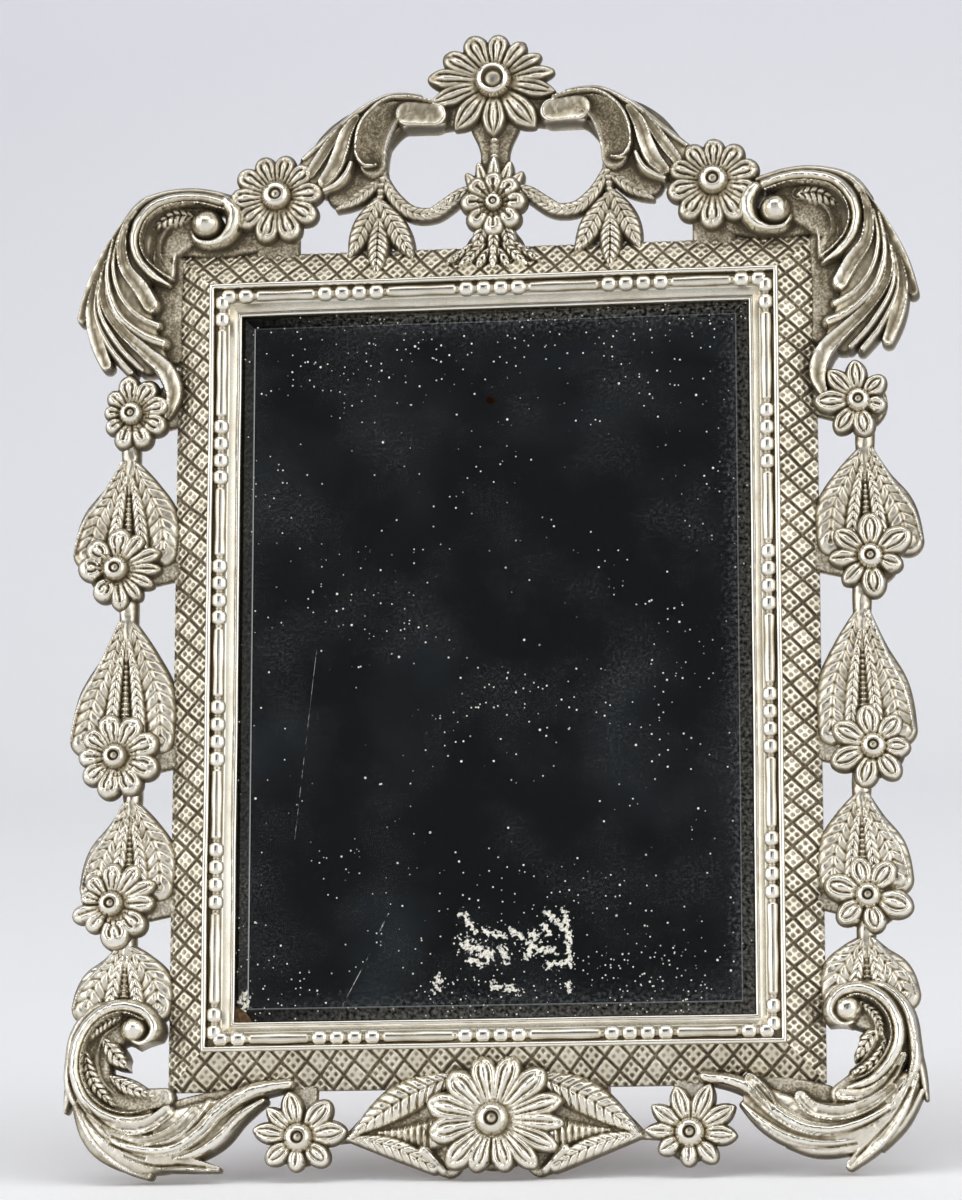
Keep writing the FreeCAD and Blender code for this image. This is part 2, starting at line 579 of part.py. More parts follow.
def apron_leaves():
    """Lower spray: beds of the three flowers, a broad and a narrow leaf on each side of the middle one."""
    reach = HALF_W - SMALL_FLOWER_IN
    blades, pieces = [], []

    def place(out, down):
        return out, -HALF_H - down

    for side in (-1, 1):
        blades += [
            Blade([(side * 12, -3.5), (side * 27, 4), (side * 43, 13.2)], [5, 12, 3],
                  LEAF_SHOULDER, LEAF_CROWN + 1),
            Blade([(side * 12, 21.5), (side * 26, 18), (side * 43, 14)], [6, 8, 3],
                  LEAF_SHOULDER, LEAF_CROWN),
            Blade([(side * 10, 12), (side * 22, 12), (side * 33, 12.8)], [12, 9, 4],
                  LEAF_SHOULDER, STEM_CROWN),
            Blade([(side * 39, 13.5), (side * 44, 13.8), (side * reach, SMALL_FLOWER_DROP)], [4, 3.5, 4],
                  LEAF_SHOULDER, STEM_CROWN),
        ]
        pieces.append(disc(place(side * reach, SMALL_FLOWER_DROP), 7.5, 0, SEAT_HEIGHT))
        foot = [place(side * (reach - 5), -1), place(side * (reach + 5), -1),
                place(side * (reach + 4), SMALL_FLOWER_DROP),
                place(side * (reach - 4), SMALL_FLOWER_DROP)]
        pieces.append(plate(foot, 0, LEAF_SHOULDER))
    pieces = placed_blades(blades, place) + pieces
    pieces.append(disc(place(0, APRON_FLOWER_DROP), 12.5, 0, SEAT_HEIGHT + 2.0))
    return fused(pieces)


# Glass and back
def mirror_plate():
    """Bevelled glass with its lower left corner chipped away."""
    half = [size + GLASS_OVERLAP for size in HALF_SIGHT]
    low, edge, high = PACKING_THICKNESS, GLASS_FRONT - BEVEL_DEPTH, GLASS_FRONT

    def ring(inset, height):
        u, v = half[0] - inset, half[1] - inset
        return [Vector(-u, -v, height), Vector(u, -v, height), Vector(u, v, height), Vector(-u, v, height)]

    glass = solid_between(ring(0, low), ring(0, edge))
    glass = glass.fuse(solid_between(ring(0, edge), ring(BEVEL_WIDTH, high)))
    return glass.removeSplitter().cut(disc((-half[0], -half[1]), CHIP_RADIUS, low - 1, high + 1))


def packing_card():
    """Card behind the glass, that fills the rebate back to the board."""
    u, v = (size + GLASS_OVERLAP for size in HALF_SIGHT)
    return plate([(-u, -v), (u, -v), (u, v), (-u, v)], 0, PACKING_THICKNESS)


def back_screw_places():
    """Six screws through the board into the rails: four near the corners, one halfway up each long side."""
    u = HALF_SIGHT[0] + MOULDING_WIDTH
    v = HALF_SIGHT[1] - BOARD_MARGIN
    return [(side * u, height) for side in (-1, 1) for height in (-v, 0, v)]


def countersunk(centre, head_height, way, radius, head_radius, length):
    """A countersunk screw with its head's face at head_height, pointing along way (1 or -1) on the w axis."""
    sink = head_radius - radius
    axis = Vector(0, 0, way)
    start = Vector(centre[0], centre[1], head_height)
    head = Part.makeCone(head_radius, radius, sink, start, axis)
    return head.fuse(Part.makeCylinder(radius, length - sink, start + axis * sink, axis))


def back_screws(extra=0.0):
    """The board's screws, or with some extra radius the holes for them."""
    length = BOARD_THICKNESS + BACK_SCREW_DEPTH + extra
    return [countersunk(place, BOARD_BACK, 1, BACK_SCREW_RADIUS + extra, BACK_SCREW_HEAD_RADIUS + extra,
                        length)
            for place in back_screw_places()]


def back_board():
    """Wooden board over the back, with its rear edges chamfered."""
    half = (HALF_W - BOARD_MARGIN, HALF_H - BOARD_MARGIN)
    u, v = half
    board = plate([(-u, -v), (u, -v), (u, v), (-u, v)], BOARD_BACK, 0)
    rear = [edge for edge in board.Edges if edge.BoundBox.ZMax < BOARD_BACK + 0.1]
    return board.makeChamfer(BOARD_CHAMFER, rear)


# Strut and hinge: drawn folded flat against the board, then opened about the hinge's axis
def opened(shape):
    """The shape turned about the hinge from folded to standing."""
    turned = shape.copy()
    turned.rotate(Vector(0, HINGE_AXIS[0], HINGE_AXIS[1]), Vector(1, 0, 0), STRUT_ANGLE)
    return turned


def hinge_barrel(low, high, radius):
    """A cylinder on the hinge's axis from u = low to high."""
    return Part.makeCylinder(radius, high - low, Vector(low, *HINGE_AXIS), Vector(1, 0, 0))


def hinge_screw_rows(way):
    """Places of a leaf's two screws; way is 1 on the board's leaf and -1 on the strut's."""
    v = HINGE_AXIS[0] + way * (LEAF_REACH * 0.62)
    return [(-HINGE_SCREW_SPREAD, v), (HINGE_SCREW_SPREAD, v)]


def hinge_board_leaf():
    """Leaf on the board with the two outer knuckles, notched for the middle one."""
    axis = HINGE_AXIS[0]
    notch = MIDDLE_KNUCKLE_HALF + KNUCKLE_GAP
    body = plate([(-LEAF_HALF_LENGTH, axis), (LEAF_HALF_LENGTH, axis), (LEAF_HALF_LENGTH, axis + LEAF_REACH),
                  (-LEAF_HALF_LENGTH, axis + LEAF_REACH)], BOARD_BACK - LEAF_THICKNESS, BOARD_BACK)
    room = plate([(-notch, axis - 1), (notch, axis - 1), (notch, axis + KNUCKLE_RADIUS + 0.6),
                  (-notch, axis + KNUCKLE_RADIUS + 0.6)], BOARD_BACK - FAR, BOARD_BACK + 1)
    knuckles = [hinge_barrel(-LEAF_HALF_LENGTH, -notch, KNUCKLE_RADIUS),
                hinge_barrel(notch, LEAF_HALF_LENGTH, KNUCKLE_RADIUS)]
    bore = hinge_barrel(-LEAF_HALF_LENGTH - 1, LEAF_HALF_LENGTH + 1, PIN_RADIUS + PIN_SEAT_CLEARANCE)
    leaf = fused([body.cut(room)] + knuckles).cut(bore)
    return leaf.cut(hinge_screws(1, SCREW_CLEARANCE))


def hinge_strut_leaf():
    """Leaf on the strut with the middle knuckle and a lug that stops against the other leaf."""
    axis = HINGE_AXIS[0]
    face = BOARD_BACK - KNUCKLE_GAP
    back = face - LEAF_THICKNESS
    clear = axis - KNUCKLE_RADIUS - 0.6
    body = plate([(-LEAF_HALF_LENGTH, axis - LEAF_REACH), (LEAF_HALF_LENGTH, axis - LEAF_REACH),
                  (LEAF_HALF_LENGTH, clear), (MIDDLE_KNUCKLE_HALF, clear), (MIDDLE_KNUCKLE_HALF, axis),
                  (-MIDDLE_KNUCKLE_HALF, axis), (-MIDDLE_KNUCKLE_HALF, clear),
                  (-LEAF_HALF_LENGTH, clear)], back, face)
    body = body.cut(hinge_screws(-1, SCREW_CLEARANCE))
    barrel = hinge_barrel(-MIDDLE_KNUCKLE_HALF, MIDDLE_KNUCKLE_HALF, KNUCKLE_RADIUS - KNUCKLE_GAP)
    lug_face = BOARD_BACK - LEAF_THICKNESS - STOP_CLEARANCE
    lug = plate([(-MIDDLE_KNUCKLE_HALF, axis), (MIDDLE_KNUCKLE_HALF, axis),
                 (MIDDLE_KNUCKLE_HALF, axis + STOP_LUG_REACH), (-MIDDLE_KNUCKLE_HALF, axis + STOP_LUG_REACH)],
                lug_face - LEAF_THICKNESS, lug_face)
    bore = hinge_barrel(-FAR, FAR, PIN_RADIUS + PIN_RUNNING_CLEARANCE)
    return fused([opened(body), barrel, lug]).cut(bore)


def hinge_pin():
    """Pin held in the outer knuckles."""
    half = LEAF_HALF_LENGTH + PIN_OVERHANG
    return hinge_barrel(-half, half, PIN_RADIUS)


def hinge_screws(way, extra=0.0):
    """Screws of the board's leaf (1) or, still folded, of the strut's leaf (-1)."""
    head = BOARD_BACK - LEAF_THICKNESS if way > 0 else BOARD_BACK - KNUCKLE_GAP
    return [countersunk(place, head, way, HINGE_SCREW_RADIUS + extra, HINGE_SCREW_HEAD_RADIUS + extra,
                        HINGE_SCREW_LENGTH + extra) for place in hinge_screw_rows(way)]


def easel_strut():
    """Tapered wooden strut, long enough to be cut level with the table when it stands open."""
    axis = HINGE_AXIS[0]
    lean, spread = math.radians(LEAN_ANGLE), math.radians(STRUT_ANGLE)
    length = (axis - FLOOR_V) * math.cos(lean) / math.cos(spread - lean) + STRUT_THICKNESS
    face = BOARD_BACK - KNUCKLE_GAP - LEAF_THICKNESS
    top, foot = axis - KNUCKLE_RADIUS - 0.6, axis - length
    outline = [(-STRUT_TOP_WIDTH / 2, top), (STRUT_TOP_WIDTH / 2, top), (STRUT_FOOT_WIDTH / 2, foot),
               (-STRUT_FOOT_WIDTH / 2, foot)]
    strut = plate(outline, face - STRUT_THICKNESS, face)
    corners = [edge for edge in strut.Edges if abs(edge.BoundBox.ZLength - STRUT_THICKNESS) < 0.01
               and edge.BoundBox.YMin > top - 1]
    strut = strut.makeFillet(STRUT_CORNER_RADIUS, corners)
    return opened(strut.cut(hinge_screws(-1, SCREW_CLEARANCE)))


# Assembly
def build():
    """Every piece by node name, still lying flat, cut so that neighbours meet and none overlap."""
    pieces = {}
    sides = ("top", "bottom", "left", "right")
    holes = back_screws(SCREW_CLEARANCE)
    for side in sides:
        pieces["lattice_rail_" + side] = without(lattice_rail(side), holes)
        pieces["sight_moulding_" + side] = sight_moulding(side)
        pieces["bead_wire_" + side] = bead_wire(side)
    rails = [pieces[kind + side] for kind in ("lattice_rail_", "sight_moulding_") for side in sides]

    flowers = flower_places()
    keep_outs = [flower_keep_out(*flowers[name]) for name in flowers]
    bores = [disc(centre, RIVET_RADIUS + RIVET_CLEARANCE, -1, seat + 1)
             for shape, centre, seat in flowers.values()]
    for name, (shape, centre, seat) in flowers.items():
        pieces[name] = without(flower_solid(shape, centre, seat), rails)
    pieces["flower_rivets"] = Part.makeCompound([flower_rivet(*flowers[name]) for name in flowers])

    castings = [("crest_stem", crest_stem()), ("apron_leaves", apron_leaves())]
    for side, name in ((-1, "left"), (1, "right")):
        castings.append(("crest_scroll_" + name, crest_scroll(side)))
        castings.append(("crest_drop_" + name, crest_drop(side)))
    for side, name in ((-1, "left"), (1, "right")):
        for index in (3, 2, 1, 0):
            castings.append(("leaf_spray_%s_%d" % (name, index + 1), leaf_spray(side, index)))
        castings.append(("corner_scroll_top_" + name, corner_scroll_top(side)))
        castings.append(("corner_scroll_bottom_" + name, corner_scroll_bottom(side)))
    finished = []
    for name, shape in castings:
        shape = without(shape, rails)
        shape = without(shape, keep_outs)
        shape = without(shape, bores)
        shape = without(shape, finished)
        pieces[name] = largest(shape)
        finished.append(pieces[name])

    pieces["mirror_plate"] = mirror_plate()
    pieces["packing_card"] = packing_card()
    pieces["back_board"] = back_board().cut(holes + hinge_screws(1, SCREW_CLEARANCE))
    pieces["back_screws"] = Part.makeCompound(back_screws())
    pieces["hinge_board_leaf"] = hinge_board_leaf()
    pieces["hinge_strut_leaf"] = hinge_strut_leaf()
    pieces["hinge_pin"] = hinge_pin()
    pieces["hinge_board_screws"] = Part.makeCompound(hinge_screws(1))
    pieces["hinge_strut_screws"] = opened(Part.makeCompound(hinge_screws(-1)))
    pieces["easel_strut"] = easel_strut()
    return pieces


def largest(shape):
    """The main solid of a casting, without the crumbs that its cuts leave."""
    return max(shape.Solids, key=lambda solid: solid.Volume)


def standing(pieces):
    """The pieces stood up, leaned back, set on the table and cut level with it."""
    lean = math.radians(LEAN_ANGLE)
    upright = Placement(Vector(0, 0, -FLOOR_V * math.cos(lean)), Rotation(Vector(1, 0, 0), 90 - LEAN_ANGLE))
    below = Part.makeBox(2 * FAR, 2 * FAR, FAR, Vector(-FAR, -FAR, -FAR))
    stood = {}
    for name, shape in pieces.items():
        moved = shape.copy()
        moved.Placement = upright.multiply(moved.Placement)
        stood[name] = moved.cut(below) if moved.BoundBox.ZMin < 0 else moved
    box = Part.makeCompound(list(stood.values())).optimalBoundingBox()
    shift = Vector(0, -(box.YMin + box.YMax) / 2, 0)
    for shape in stood.values():
        shape.translate(shift)
    axis = upright.multVec(Vector(0, *HINGE_AXIS)) + shift
    print("hinge axis at", [round(x, 4) for x in axis])
    print("frame origin at", [round(x, 4) for x in upright.multVec(Vector(0, 0, 0)) + shift])
    return stood


def main():
    """Writes one STEP file for each piece."""
    os.makedirs("parts", exist_ok=True)
    stood = standing(build())
    for name, shape in sorted(stood.items()):
        bad = "" if shape.isValid() else "  NOT VALID"
        print("%-28s solids %2d  volume %9.1f%s" % (name, len(shape.Solids), shape.Volume, bad))
        shape.exportStep("parts/%s.step" % name)


main()
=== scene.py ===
"""Looks of a silver table mirror: castings, lattice rails, polished mouldings and an old mirror glass."""

import json
import logging
import math
from dataclasses import dataclass, replace
from enum import Enum
from typing import Any, Callable, Sequence

import bpy
import numpy as np
from mathutils import Matrix, Vector
from mathutils.geometry import tessellate_polygon


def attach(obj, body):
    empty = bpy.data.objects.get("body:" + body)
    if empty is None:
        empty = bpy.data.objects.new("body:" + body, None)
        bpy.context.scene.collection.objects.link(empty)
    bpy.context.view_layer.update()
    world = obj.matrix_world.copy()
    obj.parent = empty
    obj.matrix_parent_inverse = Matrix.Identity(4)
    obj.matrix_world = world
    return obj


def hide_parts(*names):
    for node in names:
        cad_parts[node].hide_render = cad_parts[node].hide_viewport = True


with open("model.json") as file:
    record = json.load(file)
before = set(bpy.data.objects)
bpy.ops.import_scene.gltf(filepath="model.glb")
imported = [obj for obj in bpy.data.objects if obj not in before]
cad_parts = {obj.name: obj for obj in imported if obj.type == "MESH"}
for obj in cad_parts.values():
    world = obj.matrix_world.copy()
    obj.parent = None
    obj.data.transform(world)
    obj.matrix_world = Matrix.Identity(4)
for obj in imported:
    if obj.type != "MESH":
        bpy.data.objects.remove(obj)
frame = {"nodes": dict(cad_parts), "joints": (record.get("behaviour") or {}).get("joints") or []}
log = logging.getLogger("table_mirror")
MM = 0.001


# Chased relief, in millimetres on the flat frame: u to the right, v up, w towards the viewer
Point = tuple[float, float]
GRID = 0.27
BACK = 0.0
# A place is sheltered when it lies below the mean height close by or broadly around it
CLOSE_BLUR = 0.9
BROAD_BLUR = 3.2
CLOSE_DEPTH = 0.6
BROAD_DEPTH = 3.6
CLOSE_SHARE = 0.3
BROAD_SHARE = 0.2
MATT_SHARE = 0.07
# Tarnish halfway up the glass, and the growth per millimetre upwards of a painted shade, which darkens the
# castings towards the top
TARNISH = 0.05
PAINTED_SHADE_RISE = 0.0007
# Lengths of the waves that hand work leaves
WAVES = (7.0, 4.6, 3.1, 2.2, 1.5)


class Cut(Enum):
    """How a chaser finishes the top of one form."""

    ROUND = "round"
    FLAT = "flat"
    FLUTE = "flute"
    DISH = "dish"
    LEAF = "leaf"
    PETAL = "petal"
    RIBBED = "ribbed"


@dataclass(frozen=True)
class Stroke:
    """One chased form, drawn like a brush stroke along its spine.

    Attributes:
        cut: How its top is finished.
        spine: Points that its middle line passes through.
        widths: Full width at each point.
        crowns: Height of its top above the castings' backs, one for all points or one each.
        rim: Height of its edge.
        detail: Number of ribs of a petal, or the spacing of veins and ribs along the others.
    """

    cut: Cut
    spine: Sequence[Point]
    widths: Sequence[float]
    crowns: Sequence[float]
    rim: float = 2.4
    detail: float = 2.0

    def samples(self, step: float = 0.4) -> np.ndarray:
        """Smooth line through the spine.

        Args:
            step: Distance between neighbouring samples.

        Returns:
            Rows of u, v, width and crown.
        """
        crowns = list(self.crowns) * (len(self.spine) if len(self.crowns) == 1 else 1)
        knots = np.column_stack([np.array(self.spine, float), self.widths, crowns])
        gaps = np.maximum(np.linalg.norm(np.diff(knots[:, :2], axis=0), axis=1), 1e-6)
        slopes = np.diff(knots, axis=0) / gaps[:, None]
        tangents = np.vstack([slopes[:1], slopes])
        if len(gaps) > 1:
            share = (gaps[1:] / (gaps[:-1] + gaps[1:]))[:, None]
            tangents[1:-1] = slopes[:-1] * share + slopes[1:] * (1 - share)
            tangents[0] = 1.5 * slopes[0] - 0.5 * tangents[1]
            tangents[-1] = 1.5 * slopes[-1] - 0.5 * tangents[-2]
        rows = []
        for i, gap in enumerate(gaps):
            count = max(2, int(math.ceil(gap / step)))
            t = np.linspace(0, 1, count, endpoint=i == len(gaps) - 1)[:, None]
            rows.append(knots[i] * (2 * t**3 - 3 * t**2 + 1) + knots[i + 1] * (3 * t**2 - 2 * t**3)
                        + gap * (tangents[i] * (t**3 - 2 * t**2 + t) + tangents[i + 1] * (t**3 - t**2)))
        line = np.vstack(rows)
        line[:, 2] = np.maximum(line[:, 2], 0.1)
        return line

    def crest(self, side: np.ndarray, share: np.ndarray, run: np.ndarray) -> np.ndarray:
        """Shape of the top, from 0 at the rim to 1 at the crown.

        Args:
            side: Place across the form, from -1 at one edge to 1 at the other.
            share: Place along the form, from 0 to 1.
            run: Distance along the form.

        Returns:
            Share of the way from rim to crown at each point.
        """
        across = np.minimum(np.abs(side), 1)
        arch = np.sqrt(np.maximum(1 - across**2, 0))
        if self.cut is Cut.FLAT:
            return np.sqrt(np.maximum(1 - across**8, 0))
        if self.cut in (Cut.FLUTE, Cut.DISH):
            lip, floor = (0.7, 0.85) if self.cut is Cut.FLUTE else (0.9, 0.62)
            hollow = floor + (1 - floor) * (across / lip) ** 2
            fall = np.sqrt(np.maximum(1 - ((across - lip) / (1 - lip)) ** 2, 0))
            return np.where(across < lip, hollow, fall)
        if self.cut is Cut.LEAF:
            slant = np.mod(run / self.detail - 1.1 * across, 1)
            vein = np.exp(-(((slant - 0.5) / 0.13) ** 2)) * np.clip(6 * (1 - across), 0, 1)
            lobe = np.mod(slant + 0.5, 1)
            midrib = np.exp(-((side / 0.09) ** 2))
            blade = np.sqrt(np.maximum(1 - across**4, 0)) * (1 - 0.12 * across)
            return blade * (1 - 0.13 * vein - 0.05 * lobe) - 0.14 * midrib
        if self.cut is Cut.PETAL:
            lobes = np.abs(np.sin(math.pi * self.detail * (side + 1) / 2)) ** 0.5
            ends = np.clip(np.minimum(share / 0.2, (1 - share) / 0.14), 0, 1)
            return np.sqrt(np.maximum(1 - across**3, 0)) * (1 - 0.36 * (1 - lobes) * ends)
        if self.cut is Cut.RIBBED:
            return arch * (0.87 + 0.13 * np.cos(2 * math.pi * run / self.detail))
        return arch


class Sheet:
    """A sheet of worked metal on a square grid: heights, distance inside its edge, matt places, tarnish and
    painted shade.
    """

    def __init__(self, low: Sequence[float], high: Sequence[float], grid: float) -> None:
        """Lays out an empty grid.

        Args:
            low: Its lowest corner.
            high: Its highest corner.
            grid: Its spacing.
        """
        self.grid = grid
        self.groove = CLOSE_DEPTH
        self.tarnish = np.zeros(1)
        self.us = np.arange(low[0], high[0] + grid, grid)
        self.vs = np.arange(low[1], high[1] + grid, grid)
        self.height = np.zeros((len(self.vs), len(self.us)))
        self.inset = np.full(self.height.shape, -1e3)
        self.matt = np.zeros(self.height.shape)

    def blurred(self, radius: float) -> np.ndarray:
        """Mean height around each grid point, of the sheet alone.

        Args:
            radius: Reach of the mean.

        Returns:
            Blurred heights.
        """
        reach = max(1, int(round(radius / self.grid)))
        inside = (self.inset > 0).astype(float)
        sums = []
        for values in (self.height * inside, inside):
            for axis in (0, 1):
                for _ in range(2):
                    margins = [(reach + 1, reach) if a == axis else (0, 0) for a in (0, 1)]
                    padded = np.pad(values, margins)
                    total = np.cumsum(padded, axis=axis)
                    ahead = np.take(total, range(2 * reach + 1, total.shape[axis]), axis=axis)
                    behind = np.take(total, range(0, total.shape[axis] - 2 * reach - 1), axis=axis)
                    values = (ahead - behind) / (2 * reach + 1)
            sums.append(values)
        return sums[0] / np.maximum(sums[1], 1e-6)

    def tone(self) -> np.ndarray:
        """Measures how sheltered each grid point is, and adds its tarnish and painted shade.

        Returns:
            0 on a proud edge, 0.5 on a plain face, 1 deep in a groove.
        """
        close = (self.blurred(CLOSE_BLUR) - self.height) / self.groove
        broad = (self.blurred(BROAD_BLUR) - self.height) / BROAD_DEPTH
        shelter = CLOSE_SHARE * np.clip(close, -1, 1) + BROAD_SHARE * np.clip(broad, -1, 1)
        return np.clip(0.5 + shelter + MATT_SHARE * self.matt + self.tarnish, 0, 1)


class Relief(Sheet):
    """A sheet of chased metal, drawn with strokes."""

    def __init__(self, strokes: Sequence[Stroke], grid: float = GRID) -> None:
        """Lays out a grid around the strokes and draws them.

        Args:
            strokes: Forms of the sheet. The highest one shows.
            grid: Spacing of the grid.
        """
        lines = [(line, line[:, 2:3] / 2 + 1) for line in (stroke.samples() for stroke in strokes)]
        low = np.min([(line[:, :2] - pad).min(0) for line, pad in lines], axis=0)
        high = np.max([(line[:, :2] + pad).max(0) for line, pad in lines], axis=0)
        super().__init__(low, high, grid)
        # Tarnish, and painted shade that grows upwards and darkens the castings towards the top
        self.tarnish = TARNISH + PAINTED_SHADE_RISE * self.vs[:, None]
        for stroke in strokes:
            self.draw(stroke)

    def near(self, stroke: Stroke) -> tuple[tuple[slice, slice], np.ndarray, np.ndarray]:
        """Measures the grid around one stroke.

        Args:
            stroke: The form to measure from.

        Returns:
            Window of the grid, distance inside the form's edge, and the height it has there.
        """
        line = stroke.samples()
        pad = line[:, 2].max() / 2 + 3 * self.grid
        window = []
        for axis, ticks in ((1, self.vs), (0, self.us)):
            first = np.searchsorted(ticks, line[:, axis].min() - pad)
            last = np.searchsorted(ticks, line[:, axis].max() + pad)
            window.append(slice(max(first - 1, 0), last + 1))
        u, v = np.meshgrid(self.us[window[1]], self.vs[window[0]])
        run = np.concatenate([[0], np.cumsum(np.linalg.norm(np.diff(line[:, :2], axis=0), axis=1))])
        heading = np.gradient(line[:, :2], axis=0)
        heading /= np.maximum(np.linalg.norm(heading, axis=1, keepdims=True), 1e-9)
        far = (u[..., None] - line[:, 0]) ** 2 + (v[..., None] - line[:, 1]) ** 2
        half = line[:, 2] / 2
        nearest = np.argmin(np.sqrt(far) - half, axis=-1)
        du, dv = u - line[nearest, 0], v - line[nearest, 1]
        along = du * heading[nearest, 0] + dv * heading[nearest, 1]
        side = dv * heading[nearest, 0] - du * heading[nearest, 1]
        distance = np.hypot(du, dv)
        edge = half[nearest] - distance
        across = np.sign(side) * distance / half[nearest]
        place = np.clip(run[nearest] + along, 0, run[-1])
        share = place / max(run[-1], 1e-6)
        crest = np.clip(stroke.crest(across, share, place), 0, 1)
        height = stroke.rim + (line[nearest, 3] - stroke.rim) * crest
        return tuple(window), edge, np.where(edge > 0, height, stroke.rim)

    def draw(self, stroke: Stroke) -> None:
        """Adds a form: inside it the higher of the two tops shows.

        Args:
            stroke: The form.
        """
        window, edge, height = self.near(stroke)
        inset, old = self.inset[window], self.height[window]
        shows = (edge > 0) & ((inset <= 0) | (height > old))
        self.matt[window] = np.where(shows, float(stroke.cut in (Cut.FLAT, Cut.DISH)), self.matt[window])
        inside = np.where(inset > 0, np.maximum(old, height), height)
        outside = np.where((inset <= 0) & (edge > inset), height, old)
        self.height[window] = np.where(edge > 0, inside, outside)
        self.inset[window] = np.maximum(inset, edge)

    def pierce(self, stroke: Stroke) -> None:
        """Opens the sheet along a stroke."""
        window, edge, _ = self.near(stroke)
        self.inset[window] = np.minimum(self.inset[window], -edge)

    def engrave(self, stroke: Stroke, depth: float) -> None:
        """Cuts a rounded groove along a stroke.

        Args:
            stroke: Line of the groove.
            depth: Its depth.
        """
        window, edge, _ = self.near(stroke)
        half = max(stroke.widths) / 2
        self.height[window] -= depth * np.clip(edge / half, 0, 1) ** 0.7

    def hammer(self, seed: int, depth: float = 0.07) -> None:
        """Adds the faint waves that hand work leaves.

        Args:
            seed: Start of the random numbers.
            depth: Height of the longest waves.
        """
        random = np.random.default_rng(seed)
        u, v = np.meshgrid(self.us, self.vs)
        for length in WAVES:
            for _ in range(2):
                turn, start = random.uniform(0, 2 * math.pi, 2)
                phase = 2 * math.pi * (u * math.cos(turn) + v * math.sin(turn)) / length
                self.height += depth * length / WAVES[0] * np.sin(phase + start)


# Ornament of the castings
# Half width and half height of the sight, and of the frame to the rails' outer edges
SIGHT_W = 75.0
SIGHT_H = 105.0
RAIL_EDGE = 19.5
HALF_W = SIGHT_W + RAIL_EDGE
HALF_H = SIGHT_H + RAIL_EDGE
# Height of the beds that flowers lie on
SEAT = 3.5
CREST_EYE = (0, HALF_H + 50.4)
BUD_EYE = (0, HALF_H + 12.8)
APRON_EYE = (0, -HALF_H - 9.6)
# Reach of the spray that all sprays are scaled from
DRAWN_REACH = 28.0
# Width of a groove cut into a casting
GROOVE = 0.9
# Lowest petal end that is still round, where all are and where none is
ALL_ROUND = -99.0
ALL_POINTED = 99.0


def forms(cut: Cut, rim: float = 2.4, detail: float = 2.0) -> Callable[..., Stroke]:
    """Makes a short way to write strokes of one cut.

    Args:
        cut: Finish of the strokes.
        rim: Height of their edges.
        detail: Spacing or number of their ribs.

    Returns:
        A function from spine, widths and crowns to a stroke.
    """
    def stroke(spine: Sequence[Point], widths: Sequence[float], *crowns: float, rim: float = rim,
               detail: float = detail) -> Stroke:
        """One stroke of this cut."""
        return Stroke(cut, spine, widths, crowns, rim, detail)
    return stroke


ground = forms(Cut.FLAT, 2.2)
roll = forms(Cut.ROUND, 2.8)
flute = forms(Cut.FLUTE, 3.0)
dish = forms(Cut.DISH, 3.0)
leaf = forms(Cut.LEAF, 2.4, 2.1)
petal = forms(Cut.PETAL, 3.6, 2)
ladder = forms(Cut.RIBBED, 2.4, 1.9)


def spot(centre: Point) -> list[Point]:
    """Spine of a round form."""
    return [centre, (centre[0] + 0.2, centre[1])]


def pad(centre: Point, radius: float, crown: float) -> Stroke:
    """Flat round bed."""
    return ground(spot(centre), [2 * radius] * 2, crown)


def ball(centre: Point, radius: float, crown: float) -> Stroke:
    """Smooth boss."""
    return roll(spot(centre), [2 * radius] * 2, crown, rim=3.5)


def beside(spine: Sequence[Point], away: float) -> list[Point]:
    """Line that keeps its distance from another.

    Args:
        spine: The other line.
        away: Distance to its left, or to its right where negative.

    Returns:
        One point beside each point of the other line.
    """
    points = np.array(spine, float)
    heading = np.gradient(points, axis=0)
    heading /= np.linalg.norm(heading, axis=1, keepdims=True)
    return [tuple(point) for point in points + away * np.column_stack([-heading[:, 1], heading[:, 0]])]


def mirrored(strokes: Sequence[Stroke]) -> list[Stroke]:
    """The same forms on the other side of the middle line."""
    return [replace(stroke, spine=[(-u, v) for u, v in stroke.spine]) for stroke in strokes]


@dataclass(frozen=True)
class Casting:
    """A cast piece of the frame.

    Attributes:
        node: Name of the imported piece.
        strokes: Its forms.
        openings: Forms cut through it.
        lines: Grooves cut into it.
        back: Height of its flat back.
        line_depth: Depth of the grooves.
    """

    node: str
    strokes: Sequence[Stroke]
    openings: Sequence[Stroke] = ()
    lines: Sequence[Stroke] = ()
    back: float = BACK
    line_depth: float = 0.8

    def relief(self) -> Relief:
        """Draws the piece, with the seed of its hand work taken from its name.

        Returns:
            The drawn sheet.
        """
        sheet = Relief(self.strokes)
        for opening in self.openings:
            sheet.pierce(opening)
        for line in self.lines:
            sheet.engrave(line, self.line_depth)
        sheet.hammer(sum(ord(letter) for letter in self.node))
        return sheet


